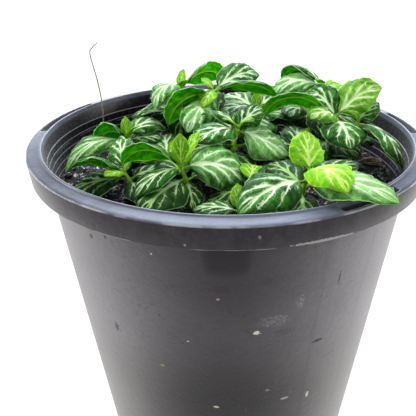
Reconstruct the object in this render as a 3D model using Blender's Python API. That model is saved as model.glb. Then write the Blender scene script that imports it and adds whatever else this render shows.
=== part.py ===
# Potted nerve plant: leafy shoots in a large black nursery pot.
#
# Driving dimensions are in millimetres and degrees, and every mesh is built in metres.
# The origin is the middle of the pot's foot on the ground, +Z is up, and -Y is the front.
# An azimuth is an angle in the ground plane, counted from +X towards +Y.

import bpy
import math
import random
import numpy as np
from mathutils import Vector
from mathutils.bvhtree import BVHTree

MM = 0.001
GAP = 0.3

# The pot.
RIM_RADIUS = 125.0
RIM_HEIGHT = 210.0
WALL_TOP_RADIUS = 115.8
WALL_TAPER = 0.1523
WALL_THICKNESS = 1.8
SKIRT_HEIGHT = 14.3
SKIRT_LEAN = 1.94
SKIRT_THICKNESS = 1.6
FLANGE_THICKNESS = 1.7
# The rim's section: radius and height over the rim, for its outer edge and its raised lip.
RIM_EDGE = ((125.0, -0.8), (124.3, 0.1), (123.1, 0.35))
RIM_CROWN = (0.5, 0.9)
LIP_SECTION = ((117.3, 1.1), (116.8, 2.1), (115.8, 2.1), (115.3, 1.2))
SKIRT_FALL = 0.3
POCKET_FLOOR = 205.0
POCKET_INNER = 118.0
POCKET_OUTER = 122.2
# Each hand-hold in the rim: its middle and its width, in degrees.
HAND_HOLDS = ((160, 30), (13, 20), (-52, 20))
HAND_HOLD_END = 0.8
LEDGE_DEPTHS = (8.0, 12.7, 17.4, 22.1, 26.8)
LEDGE_WIDTH = 0.72
LEDGE_SLANT = 0.25
BASE_THICKNESS = 2.2
BASE_CORNER = ((0.4, 3.0), (-2.6, 0.0))
FOOT_HEIGHT = 3.0
FOOT_WIDTH = 3.9
FOOT_SLANT = 1.5
FOOT_EDGE = 0.9
FOOT_BEVEL = 1.4
POT_SIDES = 40
LEAST_STEP = 0.4
DRAIN_HOLES = 8
DRAIN_RADIUS = 5.0
DRAIN_RING = 58.0
DRAIN_SIDES = 12
DRILL_PAST = 2.0

# The potting mix.
SOIL_AT_WALL = 181.5
SOIL_MOUND = 6.0
SOIL_LUMP = 2.0
SOIL_CORNER = ((3.4, 0.0), (0.0, 3.0))
SOIL_RINGS = (0.22, 0.42, 0.6, 0.76, 0.89, 1.0)
SOIL_SEED = 4
HOLE_DEPTH = 9.0
HOLE_SIDES = 6
DIBBER_PAST = 20.0

# Stems and leaves.
STEM_FOOT_RADIUS = 1.7
STEM_TIP_RADIUS = 1.1
STEM_SIDES = 6
STEM_STEPS = 3
STEM_BEND = 1.6
BLADE_THICKNESS = 0.7
PETIOLE_SHARE = 0.13
PETIOLE_JOIN = 0.05
PETIOLE_WIDTH = 1.7
PETIOLE_THICKNESS = 1.5
TIP_WIDTH = 0.9
LEAF_SWELL = 0.56
LEAF_TAPER = 0.76
FOLD_ANGLE = 20.0
CURL_ANGLE = 62.0
YOUNG_CURL = 0.55
ARCH_POWER = 1.25
ARCH_STEPS = 48
ROLL_SHARE = 0.35
WAVE_HEIGHT = 0.055
WAVES = 1.5
WAVE_OFFSET = 1.3
WAVE_START = 0.15
SURFACE_STEP = 1e-3
UPPER_TIER = 0.75
LARGE_WIDTH = 16.0
LARGE_ROWS = (0.0, 0.14, 0.31, 0.54, 0.78, 1.0)
LARGE_COLUMNS = (-1.0, -0.55, 0.0, 0.55, 1.0)
LOW_ROWS = (0.0, 0.15, 0.42, 0.74, 1.0)
YOUNG_ROWS = (0.0, 0.16, 0.56, 1.0)
NARROW_COLUMNS = (-1.0, 0.0, 1.0)
LEAF_CLEARANCE = 0.45
ROOT_SHARE = 0.3
LEAF_SEED = 11

# The dry stalk, foot first.
STALK_ROUTE = (
    (-84.5, 30.0, 175.0), (-84.6, 30.0, 196.0), (-84.0, 30.0, 212.0),
    (-84.2, 30.0, 225.0), (-86.0, 30.0, 239.0), (-89.3, 30.0, 256.0),
    (-87.4, 30.0, 260.5), (-84.0, 30.0, 263.5),
)
STALK_RADIUS = 0.45
STALK_TAPER = 0.3
STALK_SIDES = 5

# The bark chip: where it lies, its half sizes, its heading, its outline as shares of the
# half sizes, and how far the outline shrinks at each share of the chip's height.
CHIP_PLACE = (98.5, 23.5)
CHIP_HALF = (8.6, 3.6)
CHIP_HEIGHT = 4.5
CHIP_HEADING = -35.0
CHIP_BED_RADIUS = 30.0
CHIP_OUTLINE = ((-1, -0.5), (-0.55, -1), (0.5, -0.8), (1, -0.25), (0.8, 0.6), (-0.3, 1))
CHIP_LAYERS = ((1.0, 0.0), (0.86, 0.6), (0.5, 1.0))
CHIP_TILT = 0.25

# Each shoot: the foot of its stem on the ground plane, its tip, and its leaves. A leaf is
# (share of the stem's height, azimuth, rise, arch, length, width, facing). Rise is the
# angle at which it leaves the stem, arch is how far it bends down by its end, and facing
# turns its upper side to the front of the pot, or away from it where it is negative.
SHOOTS = {
    "shoot_01": ((-23, -40), (-27, -47, 208), (
        (0.97, 13, 16, 74, 42, 33, 37),
        (0.97, -144, 13, 68, 35, 19, 6),
        (0.92, 169, 54, 118, 44, 21, -50),
        (1.00, 27, 66, 15, 24, 13, -1),
        (1.00, 96, 77, 12, 20, 11, 0),
        (0.62, -124, 14, 30, 42, 30, 10),
        (0.55, -76, -4, 46, 24, 18, 0),
        (0.58, 118, 24, 40, 36, 24, 10),
        (0.55, 30, 14, 30, 34, 24, 10),
    )),
    "shoot_02": ((41, -60), (43, -79, 219), (
        (1.00, 96, 63, 23, 23, 22, -14),
        (1.00, -58, 37, 84, 34, 27, 3),
        (0.75, -145, 13, 49, 47, 32, 17),
        (0.72, -43, 25, 43, 59, 30, 9),
        (0.55, 25, 35, 45, 38, 24, 10),
        (0.55, 120, 18, 40, 36, 24, 10),
        (0.45, -95, -2, 35, 30, 22, 0),
    )),
    "shoot_03": ((2, -3), (6, -6, 218), (
        (0.95, -5, -15, 25, 36, 32, 23),
        (0.95, -134, 20, 52, 37, 25, 14),
        (0.98, 38, 43, 31, 23, 19, 24),
        (0.98, 150, 50, 90, 30, 17, -15),
        (1.00, -150, 55, 40, 14, 8, 0),
        (1.00, -20, 55, 40, 13, 8, 0),
        (0.60, -160, 12, 40, 40, 26, 20),
        (0.60, 0, 22, 45, 42, 27, 10),
        (0.50, -80, 5, 50, 34, 24, 0),
        (0.55, 100, 15, 40, 38, 25, 10),
    )),
    "shoot_04": ((-31, 42), (-33, 46, 229), (
        (0.97, -123, 44, 128, 35, 22, -4),
        (0.94, -159, -15, 21, 38, 22, -22),
        (0.97, 46, 37, 87, 48, 20, -66),
        (1.00, 55, 74, 13, 13, 8, 0),
        (1.00, -60, 50, 30, 14, 8, 0),
        (0.65, 95, 25, 45, 38, 25, 10),
        (0.62, -96, 2, 50, 36, 25, 0),
        (0.55, 170, 16, 45, 38, 25, 10),
    )),
    "shoot_05": ((-6, 36), (-10, 37, 230), (
        (0.96, -162, 10, 95, 42, 29, -59),
        (0.93, -116, -4, 41, 41, 25, 14),
        (0.97, 9, 27, 73, 47, 22, -36),
        (0.97, 44, 24, 50, 52, 21, 50),
        (1.00, -108, -3, 30, 21, 12, 2),
        (1.00, 148, 54, 41, 12, 9, 0),
        (0.62, 110, 25, 45, 40, 26, 10),
        (0.62, -60, 5, 50, 40, 27, 0),
        (0.55, 180, 15, 45, 38, 25, 10),
    )),
    "shoot_06": ((56, 44), (64, 42, 232), (
        (0.96, 170, 30, 101, 40, 27, 25),
        (0.97, 141, 50, 116, 43, 17, -24),
        (0.96, 20, 14, 40, 18, 13, 10),
        (1.00, -120, 50, 40, 12, 7, 0),
        (0.65, 100, 20, 45, 34, 23, 10),
        (0.62, -80, 5, 50, 36, 24, 0),
        (0.55, -10, 5, 45, 32, 23, 10),
    )),
    "shoot_07": ((66, 12), (70, 12, 219), (
        (1.00, 21, 54, 60, 38, 25, 51),
        (0.90, 163, 55, 127, 60, 19, -47),
        (0.92, -79, 15, 64, 34, 33, -2),
        (0.98, -139, 34, 73, 27, 21, 21),
        (0.97, 129, 60, 79, 35, 23, 60),
        (0.55, -125, 4, 40, 40, 27, 10),
        (0.55, 60, 18, 45, 32, 22, 10),
        (0.50, -78, 0, 35, 32, 22, 10),
    )),
    "shoot_08": ((81, 14), (84, 12, 216), (
        (0.97, -44, 6, 84, 47, 28, -21),
        (0.97, 35, 50, 46, 22, 16, 20),
        (1.00, 110, 60, 20, 16, 9, 0),
        (0.60, 120, 12, 40, 34, 23, 10),
        (0.55, 50, 5, 40, 28, 20, 10),
    )),
    "shoot_09": ((-63, 14), (-66, 10, 206), (
        (0.98, 172, 48, 128, 23, 24, -51),
        (0.97, 45, 41, 101, 38, 22, 15),
        (0.80, -148, 28, 96, 52, 18, 17),
        (0.86, 0, 22, 44, 31, 23, 24),
        (1.00, 100, 76, 12, 14, 7, 0),
        (1.00, -30, 56, 30, 15, 9, 0),
        (0.60, 120, 16, 40, 34, 23, 10),
        (0.55, -100, 0, 45, 28, 20, 0),
    )),
    "shoot_10": ((-58, -30), (-62, -35, 200), (
        (0.97, 170, 41, 84, 35, 19, -34),
        (0.97, 137, 48, 67, 29, 20, 19),
        (0.68, 181, 1, 30, 36, 25, 16),
        (1.00, -128, 24, 30, 16, 10, 10),
        (1.00, 50, 60, 20, 14, 8, 0),
        (0.60, 40, 15, 40, 32, 22, 10),
        (0.55, -60, 0, 30, 28, 19, 0),
    )),
    "shoot_11": ((8, -74), (6, -80, 196), (
        (0.97, 10, 25, 40, 24, 16, 10),
        (0.97, 175, 20, 45, 26, 17, 10),
        (1.00, 95, 60, 20, 16, 9, 0),
    )),
    "shoot_12": ((18, 62), (20, 64, 208), (
        (0.97, 40, 30, 55, 38, 26, 10),
        (0.97, -140, 30, 50, 36, 24, 10),
        (0.95, 135, 30, 60, 38, 26, 10),
        (1.00, 80, 60, 25, 14, 8, 0),
        (0.60, 90, 15, 45, 40, 26, 0),
        (0.60, 0, 15, 45, 36, 24, 0),
        (0.75, -80, 10, 50, 36, 25, 0),
        (0.75, -30, 14, 50, 34, 24, 0),
    )),
    "shoot_13": ((-32, 68), (-32, 72, 208), (
        (0.97, 130, 30, 55, 36, 25, 10),
        (0.97, -60, 30, 55, 34, 23, 10),
        (0.95, 40, 30, 55, 38, 25, 10),
        (0.95, -150, 20, 55, 32, 22, 10),
        (1.00, 90, 60, 25, 14, 8, 0),
        (0.50, 90, 10, 45, 34, 24, 0),
    )),
    "shoot_14": ((54, 72), (56, 76, 204), (
        (0.97, 60, 26, 55, 34, 24, 10),
        (0.97, -120, 30, 50, 34, 23, 10),
        (0.95, 150, 26, 55, 36, 24, 10),
        (0.95, -30, 22, 55, 34, 23, 10),
        (1.00, 60, 60, 25, 14, 8, 0),
        (0.50, 100, 10, 45, 30, 22, 0),
        (0.72, -80, 10, 50, 34, 24, 0),
    )),
    "shoot_15": ((44, 10), (46, 14, 197), (
        (0.97, 170, 22, 40, 38, 26, 10),
        (0.97, -15, 22, 40, 34, 24, 10),
        (0.95, 80, 24, 40, 36, 24, 10),
        (0.95, -100, 16, 50, 36, 25, 0),
        (1.00, 40, 60, 20, 16, 9, 0),
    )),
    "shoot_16": ((-38, -2), (-38, -4, 198), (
        (0.97, 10, 22, 40, 34, 24, 10),
        (0.97, -170, 22, 45, 30, 21, 10),
        (0.95, 100, 24, 40, 34, 23, 10),
        (0.95, -80, 14, 45, 32, 23, 0),
        (1.00, 40, 60, 20, 15, 9, 0),
    )),
    "shoot_17": ((14, -44), (14, -48, 200), (
        (0.97, 20, 22, 40, 34, 24, 10),
        (0.95, -60, 14, 45, 32, 23, 0),
        (0.95, 110, 24, 40, 30, 21, 10),
        (0.60, -160, -6, 40, 32, 22, 0),
    )),
}

# How far a leaf may be bent to come clear of another: changes of rise and of azimuth, and
# shares of its length, tried from the smallest change on.
BEND_RISES = (0, 5, -5, 10, -10, 16, -16, 24, -24, 34, -34)
BEND_TURNS = (0, 6, -6, 13, -13, 22, -22, 32, -32)
BEND_LENGTHS = (1.0, 0.88, 0.74)
TURN_COST = 0.8
LENGTH_COST = 60.0

PLASTIC_EDGE = 40.0
LEAF_EDGE = 50.0


def clear_scene():
    for leftover in list(bpy.data.objects):
        bpy.data.objects.remove(leftover, do_unlink=True)


def material(name, colour, roughness):
    made = bpy.data.materials.new(name)
    made.use_nodes = True
    shader = made.node_tree.nodes["Principled BSDF"]
    shader.inputs["Base Color"].default_value = (*colour, 1.0)
    shader.inputs["Roughness"].default_value = roughness
    shader.inputs["Metallic"].default_value = 0.0
    return made


def add_object(name, points, faces, finish):
    """A named object from points in millimetres."""
    mesh = bpy.data.meshes.new(name)
    mesh.from_pydata([tuple(MM * c for c in point) for point in points], [], faces)
    mesh.materials.append(finish)
    mesh.validate()
    made = bpy.data.objects.new(name, mesh)
    bpy.context.scene.collection.objects.link(made)
    return made


def smooth(made, angle):
    made.data.shade_smooth()
    made.data.set_sharp_from_angle(angle=math.radians(angle))


def wall_radius(height):
    """Outer radius of the pot's wall at a height."""
    return WALL_TOP_RADIUS - WALL_TAPER * (RIM_HEIGHT - height)


def turn_between(one, other):
    """The smaller angle between two directions, in degrees."""
    return abs((one - other + 180) % 360 - 180)


def pot_angles():
    """Even steps round the rim, with two close angles at each end of a hand-hold."""
    step = 360.0 / POT_SIDES
    edges = []
    for middle, width in HAND_HOLDS:
        for side in (-1, 1):
            end = middle + side * width / 2
            edges += [end, end - side * HAND_HOLD_END]
    edges += [0, 90, 180, 270]
    plain = [
        step * k for k in range(POT_SIDES)
        if all(turn_between(step * k, edge) > step * LEAST_STEP for edge in edges)
    ]
    return sorted(a % 360 for a in plain + edges)


def in_hand_hold(angle):
    """True strictly inside a hand-hold, so that its end points keep the rim's full height."""
    for middle, width in HAND_HOLDS:
        if turn_between(angle, middle) < width / 2 - HAND_HOLD_END / 2:
            return True
    return False


def pot_profile(angle):
    """The pot's section at an angle: (radius, height) up the outside, then down the inside."""
    foot = wall_radius(0.0)
    skirt_foot = RIM_HEIGHT - SKIRT_HEIGHT
    skirt_radius = RIM_RADIUS - SKIRT_LEAN
    profile = [
        (foot - FOOT_WIDTH - FOOT_SLANT, FOOT_HEIGHT), (foot - FOOT_WIDTH, 0.0),
        (foot - FOOT_EDGE, 0.0), (wall_radius(FOOT_BEVEL), FOOT_BEVEL),
    ]
    if in_hand_hold(angle):
        under = POCKET_FLOOR - FLANGE_THICKNESS
        profile += [(wall_radius(under), under), (POCKET_OUTER, under)]
        top = [(POCKET_OUTER, POCKET_FLOOR), (POCKET_INNER, POCKET_FLOOR)]
    else:
        under = RIM_HEIGHT - FLANGE_THICKNESS
        profile.append((wall_radius(under), under))
        profile.append((RIM_RADIUS - SKIRT_THICKNESS, under - SKIRT_FALL))
        outer, inner = RIM_CROWN
        top = [(POCKET_OUTER, RIM_HEIGHT + outer), (POCKET_INNER, RIM_HEIGHT + inner)]
    profile += [(skirt_radius - SKIRT_THICKNESS, skirt_foot), (skirt_radius, skirt_foot)]
    profile += [(radius, RIM_HEIGHT + rise) for radius, rise in RIM_EDGE]
    profile += top
    profile += [(radius, RIM_HEIGHT + rise) for radius, rise in LIP_SECTION]
    for depth in LEDGE_DEPTHS:
        height = RIM_HEIGHT - depth
        wall = wall_radius(height) - WALL_THICKNESS
        profile.append((wall + LEDGE_WIDTH, height + LEDGE_SLANT))
        profile.append((wall, height - LEDGE_SLANT))
    base_top = FOOT_HEIGHT + BASE_THICKNESS
    corner = wall_radius(base_top) - WALL_THICKNESS
    return profile + [(corner + out, base_top + rise) for out, rise in BASE_CORNER]


def turned(name, rings, low_centre, high_centre, finish):
    """A closed body from one ring of points for each profile step, capped at both centres."""
    count = len(rings[0])
    points = [point for ring in rings for point in ring]
    faces = []
    for k in range(len(rings) - 1):
        for i in range(count):
            j = (i + 1) % count
            faces.append((k * count + i, k * count + j, (k + 1) * count + j, (k + 1) * count + i))
    low = len(points)
    high = low + 1
    points += [low_centre, high_centre]
    last = (len(rings) - 1) * count
    for i in range(count):
        j = (i + 1) % count
        faces.append((low, j, i))
        faces.append((high, last + i, last + j))
    return add_object(name, points, faces, finish)


def combine(body, parts, operation, solver):
    """Joins a group of closed parts to a body, or cuts them out of it, and removes them."""
    group = bpy.data.collections.new(body.name + "_parts")
    for piece in parts:
        group.objects.link(piece)
    boolean = body.modifiers.new(operation.title(), "BOOLEAN")
    boolean.operation = operation
    boolean.solver = solver
    boolean.operand_type = "COLLECTION"
    boolean.collection = group
    depsgraph = bpy.context.evaluated_depsgraph_get()
    result = bpy.data.meshes.new_from_object(body.evaluated_get(depsgraph))
    body.modifiers.clear()
    body.data = result
    for piece in parts:
        bpy.data.objects.remove(piece, do_unlink=True)
    bpy.data.collections.remove(group)


def tube_mesh(route, radii, sides):
    """Points and faces of a closed tube along a route."""
    points = []
    side = Vector((0, 0, 0))
    for k, here in enumerate(route):
        before = Vector(route[max(k - 1, 0)])
        after = Vector(route[min(k + 1, len(route) - 1)])
        along = (after - before).normalized()
        if k == 0:
            side = along.orthogonal()
        side = (side - along * side.dot(along)).normalized()
        other = along.cross(side)
        for i in range(sides):
            turn = 2 * math.pi * i / sides
            offset = radii[k] * (math.cos(turn) * side + math.sin(turn) * other)
            points.append(tuple(Vector(here) + offset))
    faces = [tuple(reversed(range(sides)))]
    for low in range(0, (len(route) - 1) * sides, sides):
        for i in range(sides):
            j = (i + 1) % sides
            faces.append((low + i, low + j, low + sides + j, low + sides + i))
    last = (len(route) - 1) * sides
    faces.append(tuple(last + i for i in range(sides)))
    return points, faces


def tube(name, route, radii, sides, finish):
    points, faces = tube_mesh(route, radii, sides)
    return add_object(name, points, faces, finish)


def build_pot(finish):
    angles = pot_angles()
    profiles = [pot_profile(angle) for angle in angles]
    rings = []
    for k in range(len(profiles[0])):
        ring = []
        for angle, profile in zip(angles, profiles):
            radius, height = profile[k]
            turn = math.radians(angle)
            ring.append((radius * math.cos(turn), radius * math.sin(turn), height))
        rings.append(ring)
    base_top = FOOT_HEIGHT + BASE_THICKNESS
    pot = turned("pot", rings, (0, 0, FOOT_HEIGHT), (0, 0, base_top), finish)
    drills = []
    for k in range(DRAIN_HOLES):
        turn = 2 * math.pi * (k + 0.5) / DRAIN_HOLES
        x = DRAIN_RING * math.cos(turn)
        y = DRAIN_RING * math.sin(turn)
        route = ((x, y, FOOT_HEIGHT - DRILL_PAST), (x, y, base_top + DRILL_PAST))
        radii = (DRAIN_RADIUS, DRAIN_RADIUS)
        drills.append(tube("drill", route, radii, DRAIN_SIDES, finish))
    combine(pot, drills, "DIFFERENCE", "EXACT")
    smooth(pot, PLASTIC_EDGE)
    return pot


def soil_height(x, y):
    """Level of the potting mix, which is a low mound."""
    rim = wall_radius(SOIL_AT_WALL) - WALL_THICKNESS
    share = min(math.hypot(x, y) / rim, 1.0)
    return SOIL_AT_WALL + SOIL_MOUND * (1 - share ** 2)


def soil_ring(share, radius, circle, draw):
    """One ring of the mix's lumpy surface, level at the wall and under the bark chip."""
    ring = []
    for turn in circle:
        x = radius * share * math.cos(turn)
        y = radius * share * math.sin(turn)
        height = soil_height(x, y) + SOIL_LUMP * draw.uniform(-1, 1)
        if share == SOIL_RINGS[-1]:
            height = SOIL_AT_WALL
        if math.hypot(x - CHIP_PLACE[0], y - CHIP_PLACE[1]) < CHIP_BED_RADIUS:
            height = soil_height(*CHIP_PLACE)
        ring.append((x, y, height))
    return ring


def build_soil(finish, feet):
    """The mix fills the pot, and has a hole for each foot: a place and a radius."""
    draw = random.Random(SOIL_SEED)
    bottom = FOOT_HEIGHT + BASE_THICKNESS + GAP
    inner_top = wall_radius(SOIL_AT_WALL) - WALL_THICKNESS - GAP
    corner = wall_radius(bottom) - WALL_THICKNESS - GAP
    # Every second angle of the pot, so that the mix's flat sides lie inside the pot's.
    circle = [math.radians(angle) for angle in pot_angles()[::2]]
    rings = []
    for inset, rise in SOIL_CORNER:
        radius = corner - inset
        height = bottom + rise
        rings.append([(radius * math.cos(a), radius * math.sin(a), height) for a in circle])
    for share in reversed(SOIL_RINGS):
        rings.append(soil_ring(share, inner_top, circle, draw))
    soil = turned("potting_mix", rings, (0, 0, bottom), (0, 0, soil_height(0, 0)), finish)
    dibbers = []
    for (x, y), radius in feet:
        low = soil_height(x, y) - HOLE_DEPTH - GAP
        route = ((x, y, low), (x, y, SOIL_AT_WALL + SOIL_MOUND + DIBBER_PAST))
        wide = radius / math.cos(math.pi / HOLE_SIDES) + GAP
        dibbers.append(tube("dibber", route, (wide, wide), HOLE_SIDES, finish))
    combine(soil, dibbers, "DIFFERENCE", "EXACT")
    return soil


def half_width(u, width):
    """Half the leaf's width at a share u of its length, stalk included."""
    stalk = PETIOLE_WIDTH / 2
    if u <= PETIOLE_SHARE:
        return stalk
    s = min((u - PETIOLE_SHARE) / (1 - PETIOLE_SHARE), 1.0)
    widest = LEAF_SWELL / (LEAF_SWELL + LEAF_TAPER)
    full = widest ** LEAF_SWELL * (1 - widest) ** LEAF_TAPER
    bulge = s ** LEAF_SWELL * (1 - s) ** LEAF_TAPER / full
    end = stalk + (TIP_WIDTH / 2 - stalk) * s
    return max(width / 2 * bulge, end)


def leaf_spine(azimuth, rise, arch, length, us):
    """Middle line of a leaf from its foot, its heading, its side and its upward normal."""
    share = (np.arange(ARCH_STEPS) + 0.5) / ARCH_STEPS
    tilt = np.radians(rise - arch * share ** ARCH_POWER)
    knots = np.linspace(0, 1, ARCH_STEPS + 1)
    out = np.concatenate([[0], np.cumsum(np.cos(tilt))]) * length / ARCH_STEPS
    up = np.concatenate([[0], np.cumsum(np.sin(tilt))]) * length / ARCH_STEPS
    turn = math.radians(azimuth)
    heading = np.array([math.cos(turn), math.sin(turn), 0.0])
    side = np.array([math.sin(turn), -math.cos(turn), 0.0])
    zenith = np.array([0.0, 0.0, 1.0])
    run = np.interp(us, knots, out)[:, None]
    lift = np.interp(us, knots, up)[:, None]
    slope = np.radians(rise - arch * np.clip(us, 0, 1) ** ARCH_POWER)[:, None]
    normal = -np.sin(slope) * heading + np.cos(slope) * zenith
    return run * heading + lift * zenith, side, normal


def leaf_surface(leaf, us, vs):
    """Points of a leaf's middle surface over a grid of shares us along and vs across."""
    base, azimuth, rise, arch, length, width, facing, phase = leaf
    spine, side, normal = leaf_spine(azimuth, rise, arch, length, us)
    # The roll grows along the stalk, so that the leaf leaves its stem untwisted.
    towards_front = 1.0 if math.cos(math.radians(azimuth)) >= 0 else -1.0
    roll = np.radians(facing * towards_front) * np.clip(us / ROLL_SHARE, 0, 1)[:, None]
    across = np.cos(roll) * side - np.sin(roll) * normal
    upward = np.cos(roll) * normal + np.sin(roll) * side
    # The section folds up from the midrib, and its margins curl down again.
    half = np.array([half_width(u, width) for u in us])[:, None]
    fold = math.radians(FOLD_ANGLE)
    curl = math.radians(CURL_ANGLE * (1.0 if width >= LARGE_WIDTH else YOUNG_CURL))
    far = np.abs(vs)
    reach = np.sign(vs) * (math.sin(fold) - np.sin(fold - curl * far)) / curl
    lift = (np.cos(fold - curl * far) - math.cos(fold)) / curl
    ripple = np.sin(2 * math.pi * WAVES * us[:, None] + phase + WAVE_OFFSET * np.sign(vs))
    grown = np.clip((us[:, None] - PETIOLE_SHARE) / WAVE_START, 0, 1)
    wave = 2 * half * WAVE_HEIGHT * ripple * far ** 2 * grown
    x = (half * reach)[:, :, None]
    z = (half * lift + wave)[:, :, None]
    start = np.asarray(base) + spine
    return start[:, None, :] + x * across[:, None, :] + z * upward[:, None, :]


def leaf_solid(leaf, rows, columns, extra=0.0):
    """Closed thin body of a leaf: points, triangles, and the triangles past its root.

    The first and the last row have only their two outer points, so that few faces meet
    the stem and the tip.
    """
    us = np.array(rows)
    vs = np.array(columns)
    step = SURFACE_STEP
    here = leaf_surface(leaf, us, vs)
    along = leaf_surface(leaf, us + step, vs) - leaf_surface(leaf, us - step, vs)
    over = leaf_surface(leaf, us, vs + step) - leaf_surface(leaf, us, vs - step)
    normal = np.cross(over, along)
    normal /= np.linalg.norm(normal, axis=2)[:, :, None]
    at_stalk = us <= PETIOLE_SHARE + PETIOLE_JOIN
    thick = np.where(at_stalk, PETIOLE_THICKNESS, BLADE_THICKNESS)
    thick = (thick / 2 + extra)[:, None, None]
    n = len(vs)
    last = len(us) - 1
    strips = [[0, n - 1]] + [list(range(n))] * (last - 1) + [[0, n - 1]]
    kept = [(r, c) for r, strip in enumerate(strips) for c in strip]
    index = {place: k for k, place in enumerate(kept)}
    pick = tuple(np.array(kept).T)
    points = np.concatenate([(here + thick * normal)[pick], (here - thick * normal)[pick]])
    under = len(kept)
    faces = []
    blade = []
    for r in range(last):
        for triangle in strip_triangles(r, n, last):
            i, j, k = (index[place] for place in triangle)
            both = ((i, j, k), (under + k, under + j, under + i))
            faces += both
            if us[r] > ROOT_SHARE:
                blade += both
    border = [(index[0, n - 1], index[0, 0]), (index[last, 0], index[last, n - 1])]
    for r in range(last):
        border.append((index[r, 0], index[r + 1, 0]))
        border.append((index[r + 1, n - 1], index[r, n - 1]))
    for i, j in border:
        faces += [(i, j, under + j), (i, under + j, under + i)]
    return points, faces, blade


def strip_triangles(r, n, last):
    """Triangles between two rows of a leaf, split the same way on both halves of it."""
    middle = n // 2
    if r == 0:
        fan = [((0, 0), (1, c + 1), (1, c)) for c in range(middle)]
        fan.append(((0, 0), (0, n - 1), (1, middle)))
        return fan + [((0, n - 1), (1, c + 1), (1, c)) for c in range(middle, n - 1)]
    if r == last - 1:
        fan = [((last, 0), (r, c), (r, c + 1)) for c in range(middle)]
        fan.append(((last, 0), (r, middle), (last, n - 1)))
        return fan + [((last, n - 1), (r, c), (r, c + 1)) for c in range(middle, n - 1)]
    found = []
    for c in range(n - 1):
        a, b, d, e = (r, c), (r, c + 1), (r + 1, c), (r + 1, c + 1)
        if c < middle:
            found += [(a, b, e), (a, e, d)]
        else:
            found += [(a, b, d), (b, e, d)]
    return found


def leaf_grid(share, width):
    """Rows and columns of a leaf: most on the large leaves of the upper tier."""
    if width < LARGE_WIDTH:
        return YOUNG_ROWS, NARROW_COLUMNS
    if share < UPPER_TIER:
        return LOW_ROWS, NARROW_COLUMNS
    return LARGE_ROWS, LARGE_COLUMNS


def stem_point(foot, tip, share):
    """A stem leaves the soil upright and bends over to its tip."""
    ground = soil_height(*foot)
    lean = share ** STEM_BEND
    return (
        foot[0] + (tip[0] - foot[0]) * lean,
        foot[1] + (tip[1] - foot[1]) * lean,
        ground + (tip[2] - ground) * share,
    )


def stem_route(foot, tip):
    ground = soil_height(*foot)
    route = [(foot[0], foot[1], ground - HOLE_DEPTH)]
    route += [stem_point(foot, tip, k / STEM_STEPS) for k in range(STEM_STEPS + 1)]
    return route


def stem_radii():
    spread = [k / STEM_STEPS for k in range(STEM_STEPS + 1)]
    tapered = [STEM_FOOT_RADIUS + (STEM_TIP_RADIUS - STEM_FOOT_RADIUS) * s for s in spread]
    return [STEM_FOOT_RADIUS] + tapered


def tree_of(points, faces):
    return BVHTree.FromPolygons([tuple(point) for point in points], faces)


def object_tree(made):
    points = [tuple(v.co / MM) for v in made.data.vertices]
    return tree_of(points, [tuple(p.vertices) for p in made.data.polygons])


def bounds_of(points):
    points = np.asarray(points)
    return points.min(axis=0), points.max(axis=0)


def apart(one, other):
    return bool(np.any(one[0] > other[1]) or np.any(one[1] < other[0]))


def bends():
    """The changes that a leaf may take, smallest first."""
    options = []
    for length in BEND_LENGTHS:
        for rise in BEND_RISES:
            for turn in BEND_TURNS:
                cost = abs(rise) + TURN_COST * abs(turn) + LENGTH_COST * (1 - length)
                options.append((cost, rise, turn, length))
    return sorted(options, key=lambda option: (option[0], -option[1], option[2]))


def stem_trees():
    """Each shoot's stem, as a search tree and its bounds."""
    found = {}
    for name, (foot, tip, _) in SHOOTS.items():
        points, faces = tube_mesh(stem_route(foot, tip), stem_radii(), STEM_SIDES)
        found[name] = (tree_of(points, faces), bounds_of(points))
    return found


def place_leaves(obstacles):
    """Bends each leaf clear of the pot, the soil and every leaf that is already placed."""
    draw = random.Random(LEAF_SEED)
    changes = bends()
    stems = stem_trees()
    placed = {name: [] for name in SHOOTS}
    solids = []
    for rank in range(max(len(leaves) for _, _, leaves in SHOOTS.values())):
        for name, (foot, tip, leaves) in SHOOTS.items():
            if rank >= len(leaves):
                continue
            share, azimuth, rise, arch, length, width, facing = leaves[rank]
            phase = draw.uniform(0, 2 * math.pi)
            base = stem_point(foot, tip, share)
            grid = leaf_grid(share, width)
            for _, bend, turn, shorter in changes:
                leaf = (
                    base, azimuth + turn, rise + bend, arch, length * shorter,
                    width * shorter, facing, phase,
                )
                fat = leaf_solid(leaf, *grid, LEAF_CLEARANCE)
                if clear_of_all(name, fat, obstacles, stems, solids):
                    points, faces, blade = leaf_solid(leaf, *grid)
                    trees = (tree_of(points, faces), tree_of(points, blade))
                    solids.append((name, *trees, bounds_of(points)))
                    placed[name].append((leaf, grid))
                    break
    return placed


def clear_of_all(name, solid, obstacles, stems, solids):
    """Whether a leaf meets nothing, its own shoot's stem and roots of leaves apart."""
    points, faces, blade = solid
    whole = tree_of(points, faces)
    box = bounds_of(points)
    if any(whole.overlap(tree) for tree in obstacles):
        return False
    for owner, (tree, other_box) in stems.items():
        if owner != name and not apart(box, other_box) and whole.overlap(tree):
            return False
    for owner, other, other_blade, other_box in solids:
        if apart(box, other_box):
            continue
        if owner != name and whole.overlap(other):
            return False
        if owner == name and tree_of(points, blade).overlap(other_blade):
            return False
    return True


def build_shoot(name, leaves, finish):
    foot, tip, _ = SHOOTS[name]
    shoot = tube(name, stem_route(foot, tip), stem_radii(), STEM_SIDES, finish)
    grown = []
    for leaf, grid in leaves:
        points, faces, _ = leaf_solid(leaf, *grid)
        grown.append(add_object("leaf", points, faces, finish))
    combine(shoot, grown, "UNION", "MANIFOLD")
    smooth(shoot, LEAF_EDGE)


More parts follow.
